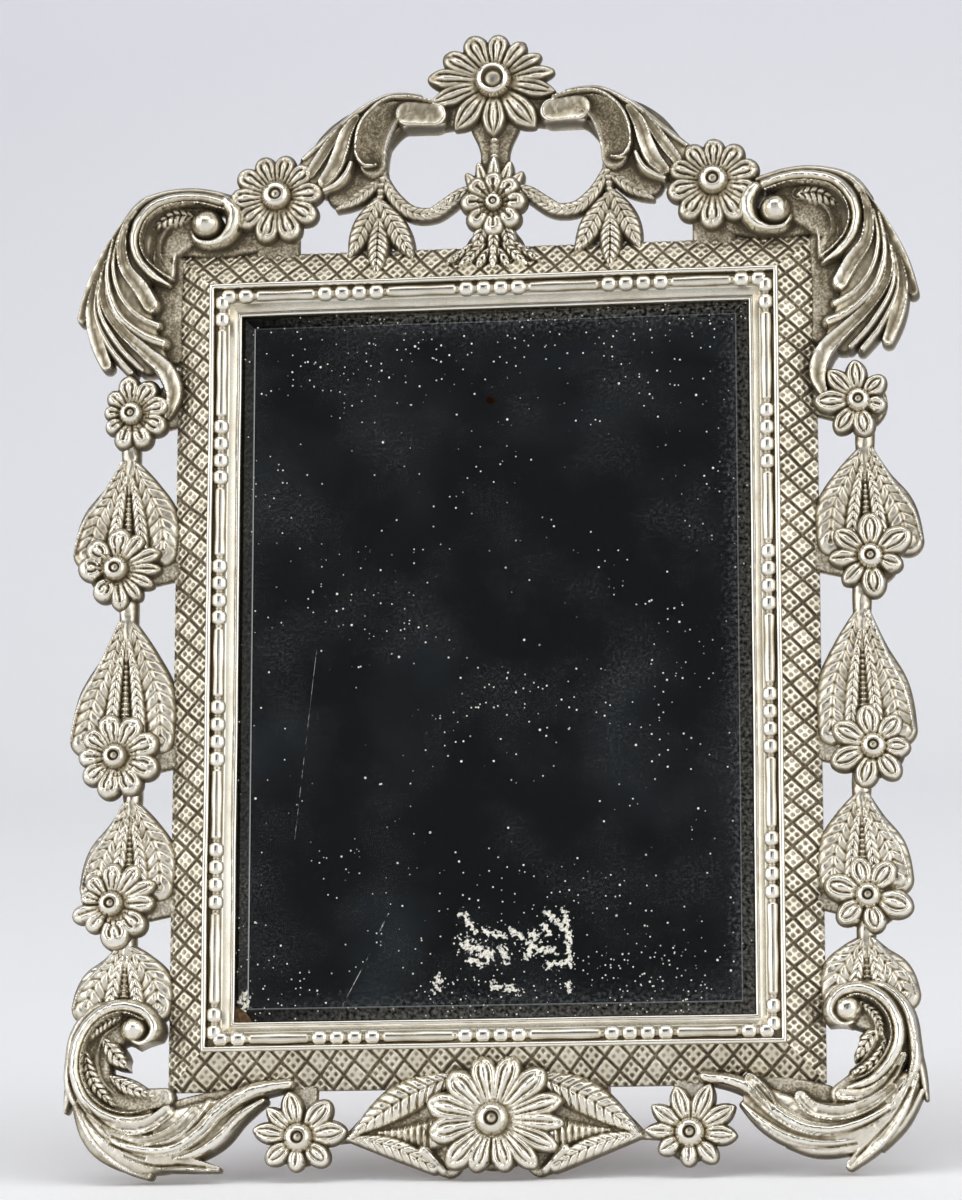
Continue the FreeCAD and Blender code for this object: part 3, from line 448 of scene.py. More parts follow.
@dataclass(frozen=True)
class Corner:
    """An upper corner scroll, drawn for the left side.

    Attributes:
        knob: Centre of the ball inside the curl.
    """

    knob: Point = (-86, 133.5)

    def by_knob(self, *steps: Point) -> list[Point]:
        """Points that keep their place beside the ball."""
        return [(self.knob[0] + u, self.knob[1] + v) for u, v in steps]

    def strokes(self) -> list[Stroke]:
        """Draws the scroll.

        Returns:
            Its ground, band, flutes, leaves and ball.
        """
        band = [(-80, 139.6), (-87, 141.2), (-94.5, 141), (-101, 138.8), (-105.4, 134), (-107, 127.6),
                (-105.2, 122), (-101.4, 118), (-97, 115.4)]
        around = self.by_knob((-4.4, -2), (-2.6, -5), (1.4, -6), (5.6, -4.6), (8.2, -1), (8.4, 3), (6, 6.6))
        return [
            ground([(-88, 135), (-98, 132), (-103, 126), (-99, 119)], [12, 17, 15, 8], 6.8),
            roll([(-105.6, 136), (-109, 122), (-110, 107), (-102.6, 93)], [8, 13, 15.6, 10],
                 8.4, 9.4, 9.4, 8, rim=6),
            ground([(-97, 122), (-98, 108), (-95.5, 94)], [9, 10, 5], 4.6),
            ground([(-93, 128.5), (-82, 128.5), (-72, 130)], [7, 9, 9], 4.2),
            roll(band, [4.6, 5, 5.4, 5.6, 5.6, 5.2, 4.6, 3.6, 1.8],
                 9, 10.4, 11.6, 12.4, 12.6, 12.2, 11.4, 10, 7.4),
            roll(beside(band, 2), [1.4] * 9, 9.6, 11.4, 12.6, 13.2, 13.2, 12.8, 11.8, 10.2, 8),
            dish([(-90, 136.4), (-97.4, 135.2), (-101.8, 130), (-102, 124.4), (-98.6, 119.4)],
                 [4, 5.4, 6, 5.6, 3.6], 8, 9, 9.4, 8.6, 7),
            roll([(-78, 141.4), (-88, 143.6), (-98, 143), (-105.4, 140), (-110, 134.6)],
                 [3, 3.6, 4, 4.6, 4], 7, 8.4, 9.4, 9.8, 9.2),
            flute([(-109, 135), (-110.6, 129), (-109.5, 120), (-105.5, 114.5), (-102.2, 109)],
                  [2, 3.4, 4.6, 5.6, 5.6], 11, 11.4, 11, 10.4, 9.4),
            roll([(-112, 130), (-113.2, 119), (-110, 110), (-104, 104.3), (-100.4, 103)],
                 [2, 3.2, 4, 4.2, 3.6], 10.4, 10.8, 10.4, 9.2, 8),
            roll([(-113.5, 129), (-115, 116), (-111.5, 106), (-105, 100), (-98.5, 97.3)],
                 [2, 3.4, 4.6, 5, 4.6], 10.4, 11, 11, 10.2, 9),
            flute([(-115.5, 122), (-115.6, 109), (-110, 100.5), (-103, 94), (-97, 88), (-95, 82),
                   (-97, 75.5)],
                  [1.8, 3, 3.8, 4.8, 6, 5.6, 2.5], 10.4, 10.6, 10.6, 10.2, 9.6, 8.4, 6.8),
            roll([(-117, 119), (-117.3, 107.5), (-112, 97.5), (-104.5, 89.5)], [2, 3, 3.4, 2.8],
                 10, 10.2, 9.8, 8.2),
            roll([(-118, 117), (-118.6, 106.5), (-114.5, 97), (-108, 89)], [1.8, 2.8, 3.4, 3],
                 9.2, 9.4, 9, 7.4),
            flute([(-118.6, 117), (-120, 107.5), (-118.4, 99), (-115.6, 91.6)], [2, 4, 5, 4],
                  8.6, 9.2, 8.8, 7.2),
            flute([(-109.4, 135.4), (-114.4, 126.5), (-119.4, 116), (-123, 106)], [2, 4, 5, 3.6],
                  9.6, 9.8, 9, 7.4),
            roll([(-107, 137.4), (-111.6, 129), (-115, 120)], [3, 3, 2.2], 10, 10.4, 9.6),
            ball(self.knob, 4.9, 12),
            roll(around, [1.6, 2.6, 3.4, 4.6, 6, 6.4, 5], 8, 8.8, 9.4, 10, 10.4, 10.6, 10),
            leaf([(-90, 136), (-95.4, 136.2), (-102, 132.4)], [3, 8.6, 1.4], 8, 9.4, 8),
            roll([(-93, 130), (-95.6, 125), (-95.8, 119.4)], [1.6, 2, 1.4], 6.4),
            roll([(-96.4, 130), (-98.8, 124.6), (-98.4, 118.6)], [1.4, 1.6, 1.2], 6.8),
            roll([(-99.2, 130), (-101.6, 124.6), (-100.6, 118.4)], [1.4, 1.6, 1.2], 7.2),
        ]

    def casting(self, side: int, node: str) -> Casting:
        """The casting on the left (-1) or right (1)."""
        return Casting(node, self.strokes() if side < 0 else mirrored(self.strokes()))


# Lower left scroll, which carries a foot
LOWER_LEFT_BAND = [(-105, -109.8), (-100.6, -110.8), (-97.6, -107), (-100.2, -102.4), (-107, -100.2),
                   (-113.8, -102.4), (-118.4, -107.6), (-120.6, -114), (-120.2, -121.2), (-117.2, -127.2),
                   (-112, -131.4), (-105, -133), (-98.6, -131.6)]
LOWER_LEFT = [
    ground([(-104, -104), (-114, -108), (-117, -118), (-112, -128), (-102, -132)], [12, 13, 13, 12, 9], 7.4),
    roll([(-118, -128), (-110, -137), (-97, -139.6), (-86, -136), (-76, -131)], [8, 16, 17, 15, 9],
         9, 9.6, 9.6, 9, 7, rim=6),
    ground([(-104, -127.4), (-95.4, -126.4)], [8, 6.4], 7),
    ground([(-91, -130), (-82, -129), (-72, -126)], [7, 9, 5], 4.8),
    roll(LOWER_LEFT_BAND, [2, 4, 4.8, 5.2, 5.4, 5.4, 5.4, 5.4, 5.4, 5.2, 4.8, 4.2, 2.6],
         8.6, 10, 11, 11.4, 11.8, 11.8, 11.8, 11.8, 11.8, 11.6, 11, 10.2, 8.6),
    roll(beside(LOWER_LEFT_BAND[3:], 2), [1, 1.4, 1.4, 1.4, 1.4, 1.4, 1.4, 1.4, 1.2, 1],
         11.2, 12, 12.4, 12.4, 12.4, 12.4, 12.2, 11.6, 10.4, 8.8),
    dish([(-109, -104.4), (-114.4, -108), (-116.6, -114.6), (-115.4, -121.6), (-110.6, -127), (-104, -129)],
         [3, 4.6, 5.4, 5.6, 5, 3], 8.6, 9.4, 9.6, 9.4, 8.6, 7),
    ball((-104.1, -106.8), 4.4, 11.6),
    roll([(-107, -98.7), (-116, -101), (-121, -107), (-122.6, -115), (-122.6, -123), (-119.5, -130)],
         [2.4, 3.6, 4, 4, 4, 3], 8, 9, 9, 9, 9, 8.6),
    leaf([(-107.6, -103), (-113.4, -105.8), (-118, -111)], [2, 4.4, 1.4], 9.4, 10.2, 9.6, detail=1.6),
    leaf([(-112.6, -109.4), (-110, -113.4), (-105.8, -117.6)], [2.4, 6.6, 1.8], 8.8, 9.6, 8.2),
    leaf([(-117.8, -113), (-115.8, -121.2), (-109.6, -128.6)], [2, 6.2, 1.8], 9.2, 10, 9),
    leaf([(-110.4, -120.4), (-105, -123.6), (-98.6, -126)], [2.6, 5.6, 1.8], 8.4, 9.2, 8),
    flute([(-119, -126.6), (-114.6, -131.4), (-107.6, -135), (-99.6, -134.8), (-94, -130.8)],
          [2.6, 3.6, 4.6, 5.2, 4.6], 9.6, 10.4, 10.8, 10.4, 9.2),
    flute([(-106, -138.8), (-97.6, -139), (-90.6, -136), (-86, -131)], [2.6, 4, 4.8, 4.4],
          10, 10.8, 10.4, 8.8),
    roll([(-99, -141), (-90.6, -138.4), (-85.4, -133.2), (-82, -128)], [2.2, 3, 3.4, 3], 10, 10.4, 9.8, 8),
    roll([(-112, -138.4), (-101, -141.6), (-92, -141.4), (-84.6, -137), (-78.6, -130.6), (-71, -125.6),
          (-59, -123)],
         [4, 5, 6, 6.6, 6.2, 5.6, 4], 9.6, 10.8, 11.2, 11.2, 10.4, 9.4, 7.6),
    roll([(-95, -143.8), (-86, -142.4), (-79, -138.4), (-73.6, -132.6), (-66.4, -127.6)],
         [3.4, 4.6, 5, 4.4, 2.4], 9, 9.6, 9.4, 8.6, 7),
    flute([(-110, -141.4), (-98, -145), (-88, -145.6), (-79.6, -147)], [3.4, 4.4, 4.4, 1.8],
          8.8, 9, 8.2, 6.6),
    flute([(-119.4, -128.4), (-114, -137.6), (-107, -144), (-99.6, -148.4)], [3.6, 6.2, 6, 2.8],
          9.4, 9.6, 9, 7),
    roll([(-116, -131), (-110.4, -138.4), (-103, -145)], [1.4, 1.8, 1.4], 9.6, 10, 9),
    roll([(-122.2, -119), (-123.2, -125), (-124.2, -129.8)], [2.4, 3.4, 1.4], 8, 7.4, 5.6),
]
LOWER_LEFT_SWEEP = [(-110, -138.8), (-101, -141.6), (-92, -141.4), (-84.6, -137), (-78.6, -130.6),
                    (-72, -125.4)]
LOWER_LEFT_LINES = [roll(beside(LOWER_LEFT_SWEEP, away), [GROOVE] * 6, 0) for away in (-1.1, 1.2)]
LOWER_LEFT_LINES += [roll(line, [GROOVE] * 4, 0) for line in (
    [(-117, -128.6), (-112, -134), (-105, -137), (-98, -136.8)],
    [(-117.6, -131.6), (-112, -138), (-106, -141.8), (-100, -144)],
    [(-106, -143.2), (-97, -146.2), (-89, -146), (-83, -146.6)],
    [(-92, -144), (-85, -141.4), (-78.4, -136.6), (-72.6, -131)],
    [(-121.4, -112), (-122.4, -119), (-121, -126), (-117.6, -131)])]
LOWER_LEFT_OPENING = [ground([(-95.6, -111.6), (-102.4, -117), (-95.6, -122.4)], [3.6, 6.8, 2.4], 0)]

# Lower right scroll, which curls more tightly than the left one
LOWER_RIGHT_BAND = [(102.6, -108), (99, -108.6), (96, -105), (98, -100.6), (103.6, -98.6), (110, -100.8),
                    (114.2, -106), (115.4, -112.4), (113, -119), (107.6, -124.6), (101, -126.6)]
LOWER_RIGHT = [
    ground([(102, -103), (110.5, -107), (113, -115), (108, -123), (100, -128.6)], [12, 12, 12, 11, 9], 7.4),
    roll([(117, -126), (109.6, -133.6), (97, -138), (86, -135.6), (75, -129)], [8, 16, 15, 13, 8],
         9, 9.6, 9.6, 9, 7, rim=6),
    ground([(94, -129), (86, -128), (74, -125)], [8, 10, 6], 4.8),
    roll(LOWER_RIGHT_BAND, [2, 4, 4.8, 5.2, 5.4, 5.4, 5.4, 5.4, 5.2, 4.6, 2.6],
         8.6, 10, 11, 11.4, 11.8, 11.8, 11.8, 11.8, 11.4, 10.6, 8.6),
    roll(beside(LOWER_RIGHT_BAND[3:], -2), [1, 1.4, 1.4, 1.4, 1.4, 1.4, 1.2, 1],
         11.2, 12, 12.4, 12.4, 12.4, 12, 11, 8.8),
    dish([(106, -102.6), (110.2, -107), (111, -112.8), (108, -118.6), (102.4, -122.6)], [3, 4.4, 5, 5, 3],
         8.4, 9.2, 9.4, 8.8, 7),
    ball((101, -104.2), 4.6, 12),
    roll([(105, -96.8), (112.6, -98.8), (117.8, -105), (119.4, -113), (119.6, -121), (116, -128)],
         [2.4, 3.8, 4.4, 4.4, 4.4, 3], 8, 9.4, 9.8, 9.8, 9.4, 8.8),
    leaf([(104.6, -102.4), (109, -106.4), (111, -112.4)], [2, 4.4, 1.4], 8.8, 9.8, 8.8, detail=1.6),
    leaf([(110.6, -109.6), (106.6, -113.6), (103.2, -118.6)], [2.4, 6.2, 1.4], 8.6, 9.6, 8.2),
    leaf([(111.6, -113), (109, -118.8), (102.4, -122.4)], [1.8, 5, 1.8], 9, 9.8, 8.6),
    flute([(116.6, -118), (112.6, -124.4), (106, -128.6), (99, -128.6)], [2.4, 3.4, 4, 4],
          10.2, 10.6, 10.2, 9),
    flute([(113.4, -126.8), (106, -132), (97, -134), (90, -132), (87.4, -129)], [3, 4.6, 5.2, 5, 4],
          10.2, 10.8, 10.6, 9.8, 8.8),
    roll([(113.6, -131.6), (104, -136.8), (95, -138.6), (87, -137), (80, -132.6), (73.4, -126.4),
          (60, -122.6)],
         [3.6, 5, 6.2, 6.8, 6.4, 5.6, 4], 9.8, 11, 11.4, 11.4, 10.8, 9.6, 8),
    flute([(80, -132.4), (76.8, -127.6), (73.2, -123.6)], [2.6, 4.4, 3.4], 11, 11.2, 9.6),
    roll([(104.6, -141), (94, -142.2), (84, -140.2), (76.8, -136), (71, -130.6)], [3.4, 4.4, 5, 4.4, 2.4],
         9, 9.8, 9.6, 8.8, 7),
    roll([(110, -139.6), (100.4, -143.6), (91, -144), (83.4, -142)], [2.8, 3.4, 3.4, 1.8],
         8.4, 8.4, 7.8, 6.4),
    flute([(119.4, -123.6), (114.8, -133), (108.8, -141.2), (101.2, -148.2)], [3.4, 6, 5.8, 3],
          9.6, 9.8, 9.2, 7.2),
    roll([(121.6, -127.6), (116, -137), (110.2, -143.4)], [2, 3, 2], 8, 8, 7.2),
    roll([(119.6, -112), (121.2, -121.4), (122.8, -129.6)], [2, 3.4, 1.4], 8, 7.4, 5.6),
]
LOWER_RIGHT_SWEEP = [(112, -132.4), (104, -136.8), (95, -138.6), (87, -137), (80, -132.6), (74.4, -126.6)]
LOWER_RIGHT_LINES = [roll(beside(LOWER_RIGHT_SWEEP, away), [GROOVE] * 6, 0) for away in (-1.2, 1.2)]
LOWER_RIGHT_LINES += [roll(line, [GROOVE] * 4, 0) for line in (
    [(115, -121), (110.6, -126.6), (104.6, -130), (98, -130.6)],
    [(118.4, -127), (113, -136), (107.6, -141.6), (103, -146)],
    [(103, -142.4), (94, -143.2), (84, -141.4), (77, -137)],
    [(118.4, -108), (119.8, -115), (119, -121.6), (115.4, -127.6)])]
LOWER_RIGHT_OPENING = [ground([(95.6, -110.6), (101.4, -112.4), (98.4, -118.4), (95.2, -121.8)],
                              [3, 5.4, 4.6, 2], 0)]


@dataclass(frozen=True)
class Garland:
    """The flowers and leaf sprays down one side.

    Attributes:
        side: -1 on the left, 1 on the right.
        out: How far each flower stands outside the rail.
        heights: v of each flower.
        reach: How far each spray spreads outside the rail.
        below: How far under a flower's eye its spray begins.
        above: How far over the next flower's eye the spray ends.
        last_end: v where the lowest spray ends, on the corner.
    """

    side: int
    out: Sequence[float]
    heights: Sequence[float]
    reach: Sequence[float]
    below: float = 9.0
    above: float = 5.0
    last_end: float = -100.0

    @property
    def name(self) -> str:
        """Name of the side."""
        return "left" if self.side < 0 else "right"

    def eye(self, index: int) -> Point:
        """Centre of one flower."""
        return self.side * (HALF_W + self.out[index]), self.heights[index]

    def spray(self, index: int) -> Casting:
        """One link of the garland: bed of a flower and the tulip of leaves below it.

        Args:
            index: Place from the top, from 0.

        Returns:
            The casting.
        """
        last = index == len(self.heights) - 1
        top = self.heights[index] - self.below
        end = self.last_end if last else self.heights[index + 1] + self.above
        spread = self.reach[index] / DRAWN_REACH
        eye = self.eye(index)

        def at(*places: Point) -> list[Point]:
            """Places given outwards from the rail and as shares of the way down."""
            return [(self.side * (HALF_W + out * spread), top + (end - top) * share) for out, share in places]

        strokes = [
            pad(eye, 8, SEAT),
            ground([eye, (self.side * (HALF_W - 0.5), eye[1] + 3.6)], [13, 13], SEAT),
            roll(at((13.3, -0.15), (13, 0.12), (12.9, 0.42)), [5.4, 5.4, 3], 5.8, rim=3),
            ground(at((13, 0.34), (13.2, 0.64), (13.4, 0.98)), [4, 11, 15], 4.2),
            leaf(at((14.4, 0.16), (17.4, 0.44), (22, 0.7), (24.4, 0.99)), [2.4, 7, 10, 9.6], 6, detail=3.2),
            roll(at((15.2, 0.16), (20.6, 0.47), (26.2, 0.74), (28.2, 0.99)), [1.1, 1.5, 1.5, 1.1], 6.2),
            leaf(at((12, 0.16), (8, 0.42), (4.4, 0.66), (3.4, 1)), [2.6, 8, 10.4, 8.6], 5.8, detail=3.4),
            leaf(at((13.8, 0.3), (16, 0.64), (17.4, 0.97)), [1.6, 4.4, 4.8], 6.6, detail=2.5),
            leaf(at((12.4, 0.3), (10.2, 0.64), (9.2, 0.97)), [1.6, 4.4, 4.8], 6.6, detail=2.5),
            ladder(at((13.1, 0.4), (13.2, 0.68), (13.3, 0.92)), [1.2, 2.8, 3.8], 6.2, detail=1.6),
        ]
        return Casting(f"leaf_spray_{self.name}_{index + 1}", strokes)


GARLANDS = (
    Garland(-1, (13.3, 17.2, 16.6, 17.0), (76.2, 29.4, -26.6, -70.0), (29.7, 29.7, 25.6, 27.6)),
    Garland(1, (12.2, 15.0, 15.0, 12.8), (73.5, 27.0, -28.6, -71.8), (29.3, 26, 24, 25.6)),
)


@dataclass(frozen=True)
class Bloom:
    """A cast flower.

    Attributes:
        node: Name of the piece.
        eye: Centre.
        tips: Ends of the petals, from the centre, in order around it.
        boss: Radius of the rivet head at the centre.
        seat: Height of the bed that the flower lies on.
        rise: Height of the petals over the bed.
        round_above: Petals that end higher than this over the centre are round, the others pointed.
        dimple: Width of the rivet's dimple, as a share of the usual one.
    """

    node: str
    eye: Point
    tips: Sequence[Point]
    boss: float
    seat: float = SEAT
    rise: float = 5.0
    round_above: float = ALL_ROUND
    dimple: float = 1.0

    def casting(self) -> Casting:
        """Draws the flower.

        Returns:
            Its petals, collar and ground, as one casting.
        """
        angles = [math.atan2(v, u) for u, v in self.tips]
        order = sorted(range(len(angles)), key=lambda i: angles[i])
        strokes = []
        nearest = min(math.hypot(*tip) for tip in self.tips)
        for place, i in enumerate(order):
            before = angles[order[place - 1]]
            after = angles[order[(place + 1) % len(order)]]
            gap = ((angles[i] - before) % (2 * math.pi) + (after - angles[i]) % (2 * math.pi)) / 2
            reach = math.hypot(*self.tips[i])
            blunt = self.tips[i][1] > self.round_above
            belly, point = (0.76, 0.55) if blunt else (0.64, 0.24)
            widest = min(2.2 * math.sin(min(gap, 1.2) / 2) * reach * belly, 0.66 * reach)
            start, end = 0.95 * self.boss, reach - point / 2 * widest
            spine = [(self.eye[0] + r * math.cos(angles[i]), self.eye[1] + r * math.sin(angles[i]))
                     for r in (start, (start + belly * reach) / 2, belly * reach, end)]
            ribs = 2 if widest < 6.4 else 3
            top = self.seat + self.rise
            strokes.append(Stroke(Cut.PETAL, spine, [0.42 * widest, 0.8 * widest, widest, point * widest],
                                  [top - 2, top - 0.3, top, top - 1.5], self.seat + 1, ribs))
        strokes.append(pad(self.eye, 0.86 * nearest, self.seat + 2.2))
        strokes.append(roll(spot(self.eye), [2.4 * self.boss] * 2, self.seat + 3.4, rim=self.seat + 2))
        return Casting(self.node, strokes, back=self.seat)


def ring_of_tips(count: int, start: float, left: float, right: float, up: float, down: float) -> list[Point]:
    """Petal ends spread evenly on an egg-shaped ring.

    Args:
        count: Number of petals.
        start: Direction of the first, in degrees.
        left: Reach to the left.
        right: Reach to the right.
        up: Reach upwards.
        down: Reach downwards.

    Returns:
        The ends, from the centre.
    """
    tips = []
    for i in range(count):
        angle = math.radians(start + 360 * i / count)
        c, s = math.cos(angle), math.sin(angle)
        reach = 1 / math.hypot(c / (right if c > 0 else left), s / (up if s > 0 else down))
        tips.append((reach * c, reach * s))
    return tips


def blooms() -> list[Bloom]:
    """Places every flower of the frame.

    Returns:
        The flowers.
    """
    left = [
        ring_of_tips(9, 95, 8, 11.5, 11.5, 11),
        [(-7.5, 7.5), (1.5, 12), (8, 10), (13.5, 5), (13.8, -0.5), (11.5, -5.5), (7.6, -9.5), (2, -12.5),
         (-4.5, -9), (-10.5, 0.5)],
        ring_of_tips(9, 100, 10.5, 13.5, 12.5, 12.5),
        [(0.5, 12), (8, 11), (13.2, 6), (13, 0), (9.5, -8), (2, -12.6), (-6.5, -7.5), (-11.5, -4), (-9, 2.5),
         (-6.5, 8)],
    ]
    right = [
        [(-9, 9.5), (-1, 12.5), (7.5, 7), (8, -2), (-13, 0), (-6.5, -9.5), (2, -11)],
        [(-10.5, 8), (0, 13), (11.5, 7.5), (9, -3), (1, -12), (-8, -8), (-12.5, -0.5)],
        ring_of_tips(7, 100, 13.5, 10.5, 12.5, 12.5),
        [(-3, 11), (7, 9.5), (12.5, -4), (2.5, -10.5), (-8.5, -7.5), (-12.5, 4)],
    ]
    found = [
        Bloom("crest_flower", CREST_EYE,
              [(-7.3, 14.2), (1.7, 14.6), (9.2, 12), (14.2, 7.8), (18.2, 2.6), (18.6, -4), (12.6, -15),
               (0, -17.5), (-11.6, -15), (-19.2, -6.4), (-20, 1.6), (-15.2, 8.6)],
              5.4, round_above=-3, dimple=1.4),
        Bloom("crest_bud_flower", BUD_EYE, ring_of_tips(8, 90, 9.4, 9.4, 9.2, 10), 2.7),
        Bloom("apron_flower", APRON_EYE,
              [(-3.5, 18.5), (6, 18.5), (15, 14), (20, 5.5), (20.5, -1.5), (18.5, -8.5), (12.5, -14),
               (4, -15), (-5.5, -15), (-13, -13.6), (-18.5, -4), (-19, 5), (-12.5, 13.5)], 4.8, SEAT + 2),
        Bloom("shoulder_flower_left", (-HALF_W + 29.5, HALF_H + 17.2), ring_of_tips(10, 75, 14, 14, 12.8, 15),
              4.4),
        Bloom("shoulder_flower_right", (HALF_W - 29.5, HALF_H + 17.2), ring_of_tips(10, 88, 14, 14, 12.8, 15),
              4.4),
        Bloom("apron_small_flower_left", (-HALF_W + 38.5, -HALF_H - 14),
              [(-3, 13.5), (9, 10.5), (14, 2), (8.5, -7.5), (-1, -9.5), (-9.5, -7), (-13.5, 2.5), (-9.5, 9)],
              4.2, round_above=ALL_POINTED),
        Bloom("apron_small_flower_right", (HALF_W - 38.5, -HALF_H - 14),
              [(-4, 13.5), (6, 14), (13, 7.5), (13.5, -1), (7.5, -8.5), (-0.5, -9.5), (-9, -5.5), (-13, 1),
               (-11, 8)], 4.2, round_above=ALL_POINTED),
    ]
    for garland, shapes in zip(GARLANDS, (left, right)):
        for i, tips in enumerate(shapes):
            found.append(Bloom(f"side_flower_{garland.name}_{i + 1}", garland.eye(i), tips, 3.7 if i else 3.5,
                               round_above=ALL_ROUND if garland.side < 0 else ALL_POINTED))
    return found


# Left half of the crest: scroll and leaf drop
CREST_LIP = [(-18, 168.6), (-24, 169.8), (-30.8, 169.6), (-36.4, 166), (-39.6, 161.4), (-40.8, 156.4),
             (-40.4, 152), (-38.4, 149.8), (-35, 150)]
CREST_SCROLL = [
    ground([(-10, 167), (-19, 165.4), (-29, 165), (-37, 158), (-41, 148), (-46, 142.5)],
           [10, 9, 10, 12, 13, 9], 5),
    roll([(-36, 166), (-44, 158), (-51, 150.4), (-59, 145)], [8, 15, 14, 10], 8.2, 8.8, 8.2, 5.4, rim=3),
    pad((-65, 141.7), 9, SEAT),
    ground([(-65, 136), (-65, 123)], [13, 13], SEAT),
    dish([(-25, 167), (-30.6, 165.2), (-34.6, 160.6), (-36.2, 155), (-36, 150.4)], [4, 7, 9.4, 9.4, 8],
         8.6, 10, 10.4, 9.8, 8),
    roll(CREST_LIP, [1.6, 2, 2.2, 2.4, 2.4, 2.4, 2.2, 2, 1.4], 10, 11, 11.6, 11.8, 11.6, 11, 10.4, 9.6, 8.4),
    roll([(-22, 170.6), (-31.3, 170.8), (-38.6, 167.2), (-45, 162.4), (-50.4, 157.6), (-57, 153)],
         [2, 3, 3.6, 4, 4, 2.6], 8.8, 9.4, 9.8, 9.6, 9, 7),
    flute([(-40.6, 164), (-43.6, 159.2), (-45.4, 153.6), (-48, 148), (-50.6, 145.2)], [2.4, 4.6, 5.4, 5.4, 4],
         10.8, 11, 10.8, 10, 8.8),
    flute([(-44.8, 162), (-48.4, 156.6), (-52, 151.4), (-54.6, 148)], [2, 3.6, 4.2, 3.6],
          10.2, 10.4, 9.8, 8.6),
    roll([(-42.4, 150.6), (-44.8, 146), (-50.6, 143)], [2.4, 3.8, 3], 9.6, 9.4, 7.6),
    flute([(-25.4, 165.2), (-17.6, 164.8)], [9, 8.4], 9.2, 8.4, rim=4),
    roll([(-28.4, 161.6), (-31.6, 157), (-32.8, 151)], [1.4, 1.6, 1.4], 7),
]
CREST_OPENING = [ground([(-22.2, 150.6), (-16, 151.6), (-9.8, 152.6)], [18.6, 13, 8.6], 0)]
CREST_DROP = [
    ladder([(-33.4, 148.4), (-34, 143), (-34.6, 136)], [3, 3, 2.4], 5.8),
    leaf([(-35, 145.4), (-40.6, 141.2), (-47, 137.6)], [3, 5, 1.4], 5.4),
    leaf([(-35, 139.4), (-39.2, 131), (-43, 122.8)], [3.4, 7.8, 1.4], 6, 6.4, 5.4, detail=2.4),
    leaf([(-33.6, 138.4), (-29, 130), (-24.2, 121.4)], [3.4, 7.8, 1.4], 6, 6.4, 6.4, detail=2.4),
    leaf([(-34.4, 133), (-34.6, 124.4), (-34.6, 115.6)], [3, 7.2, 1.4], 6.6, 8.2, 10.4),
    leaf([(-33, 146.8), (-29.6, 140), (-24.2, 135.6), (-18.8, 135.2), (-11, 139.6), (-5, 143)],
         [2.8, 4.6, 4.8, 4.6, 4, 2.6], 5.6, detail=2.2),
]


def crest_middle() -> list[Stroke]:
    """Draws the middle of the crest.

    Returns:
        Its neck, bud, hanging leaves and fan.
    """
    one_side = [
        leaf([(-2.4, 141.4), (-8.6, 141.4), (-15.4, 138), (-20.6, 135.4)], [2.6, 4, 3.2, 1.4],
             6.4, 6.2, 5.8, 5.2),
        petal([(-1.6, 140), (-3.6, 145.6), (-4.6, 149.4)], [2, 4.4, 2], 6.6, 7.2, 6),
        petal([(-2, 139.6), (-6, 143.6), (-8, 146.4)], [2, 4.4, 2], 6.2, 6.8, 5.6),
        leaf([(-1.4, 133), (-3.8, 128), (-5.4, 122.2)], [3, 5.6, 1.6], 6.2, 7.4, 7.6),
        leaf([(-3, 124.6), (-6.4, 121.2), (-10, 117.6)], [2.6, 4.4, 1.2], 7, 8.8, 9.8),
        leaf([(-1.6, 122.6), (-3.4, 119.4), (-4.8, 116.2)], [2.4, 3.6, 1], 8, 9.4, 10.4),
        leaf([(-4, 126), (-9.6, 121.8), (-14, 118.4)], [2, 3.4, 1], 6, 8.2, 9.4),
    ]
    return one_side + mirrored(one_side) + [
        pad(CREST_EYE, 13, SEAT),
        ground([(0, 163), (0, 153), (0, 145)], [15, 8.6, 11], SEAT + 0.6),
        pad(BUD_EYE, 5.6, SEAT),
        ground([(0, 134), (0, 127), (0, 121.6)], [9, 13, 19], 4.2),
        ladder([(0, 157), (0, 149)], [3.4, 3], 6, detail=1.6),
        petal([(0, 140), (0, 146.4), (0, 151)], [2.4, 5, 2], 7, 7.8, 6.4),
        leaf([(0, 132), (0, 126), (0, 119.4)], [3, 4.6, 1.4], 6.6, 8, 9.2),
        leaf([(0, 123), (0, 119), (0, 115.8)], [2.4, 3.4, 1], 8.6, 9.8, 10.6),
    ]


def apron() -> list[Stroke]:
    """Draws the lower spray.

    Returns:
        Its leaves and flower beds.
    """
    one_side = [
        ground([(-42, -138.2), (-30, -134), (-14, -133)], [2.4, 13, 22], 4.2),
        ground([(-36, -139.4), (-24, -143), (-13, -146)], [2, 6, 8], 4),
        leaf([(-12, -121.6), (-24, -126.6), (-41, -138)], [4, 10.4, 1.6], 6.6, 7.8, 6, detail=2.9),
        ladder([(-33, -137.2), (-25, -137.4), (-17.4, -137.6)], [1.4, 5.4, 10], 6, 7.4, 8.2),
        leaf([(-42, -138.6), (-28.6, -141.6), (-17.4, -147.2)], [1.8, 6.4, 4], 5.6, 6.8, 6, detail=2.8),
        roll([(-20, -142.6), (-14.6, -148)], [4.6, 3], 6.6, 5.6),
        ground([(-40, -138.2), (-50, -138.6)], [2.6, 3.4], 4),
        pad((-56, -138.5), 7.6, SEAT),
        ground([(-56, -134), (-56, -123)], [9, 10], SEAT),
    ]
    return one_side + mirrored(one_side) + [pad(APRON_EYE, 14, SEAT + 2)]


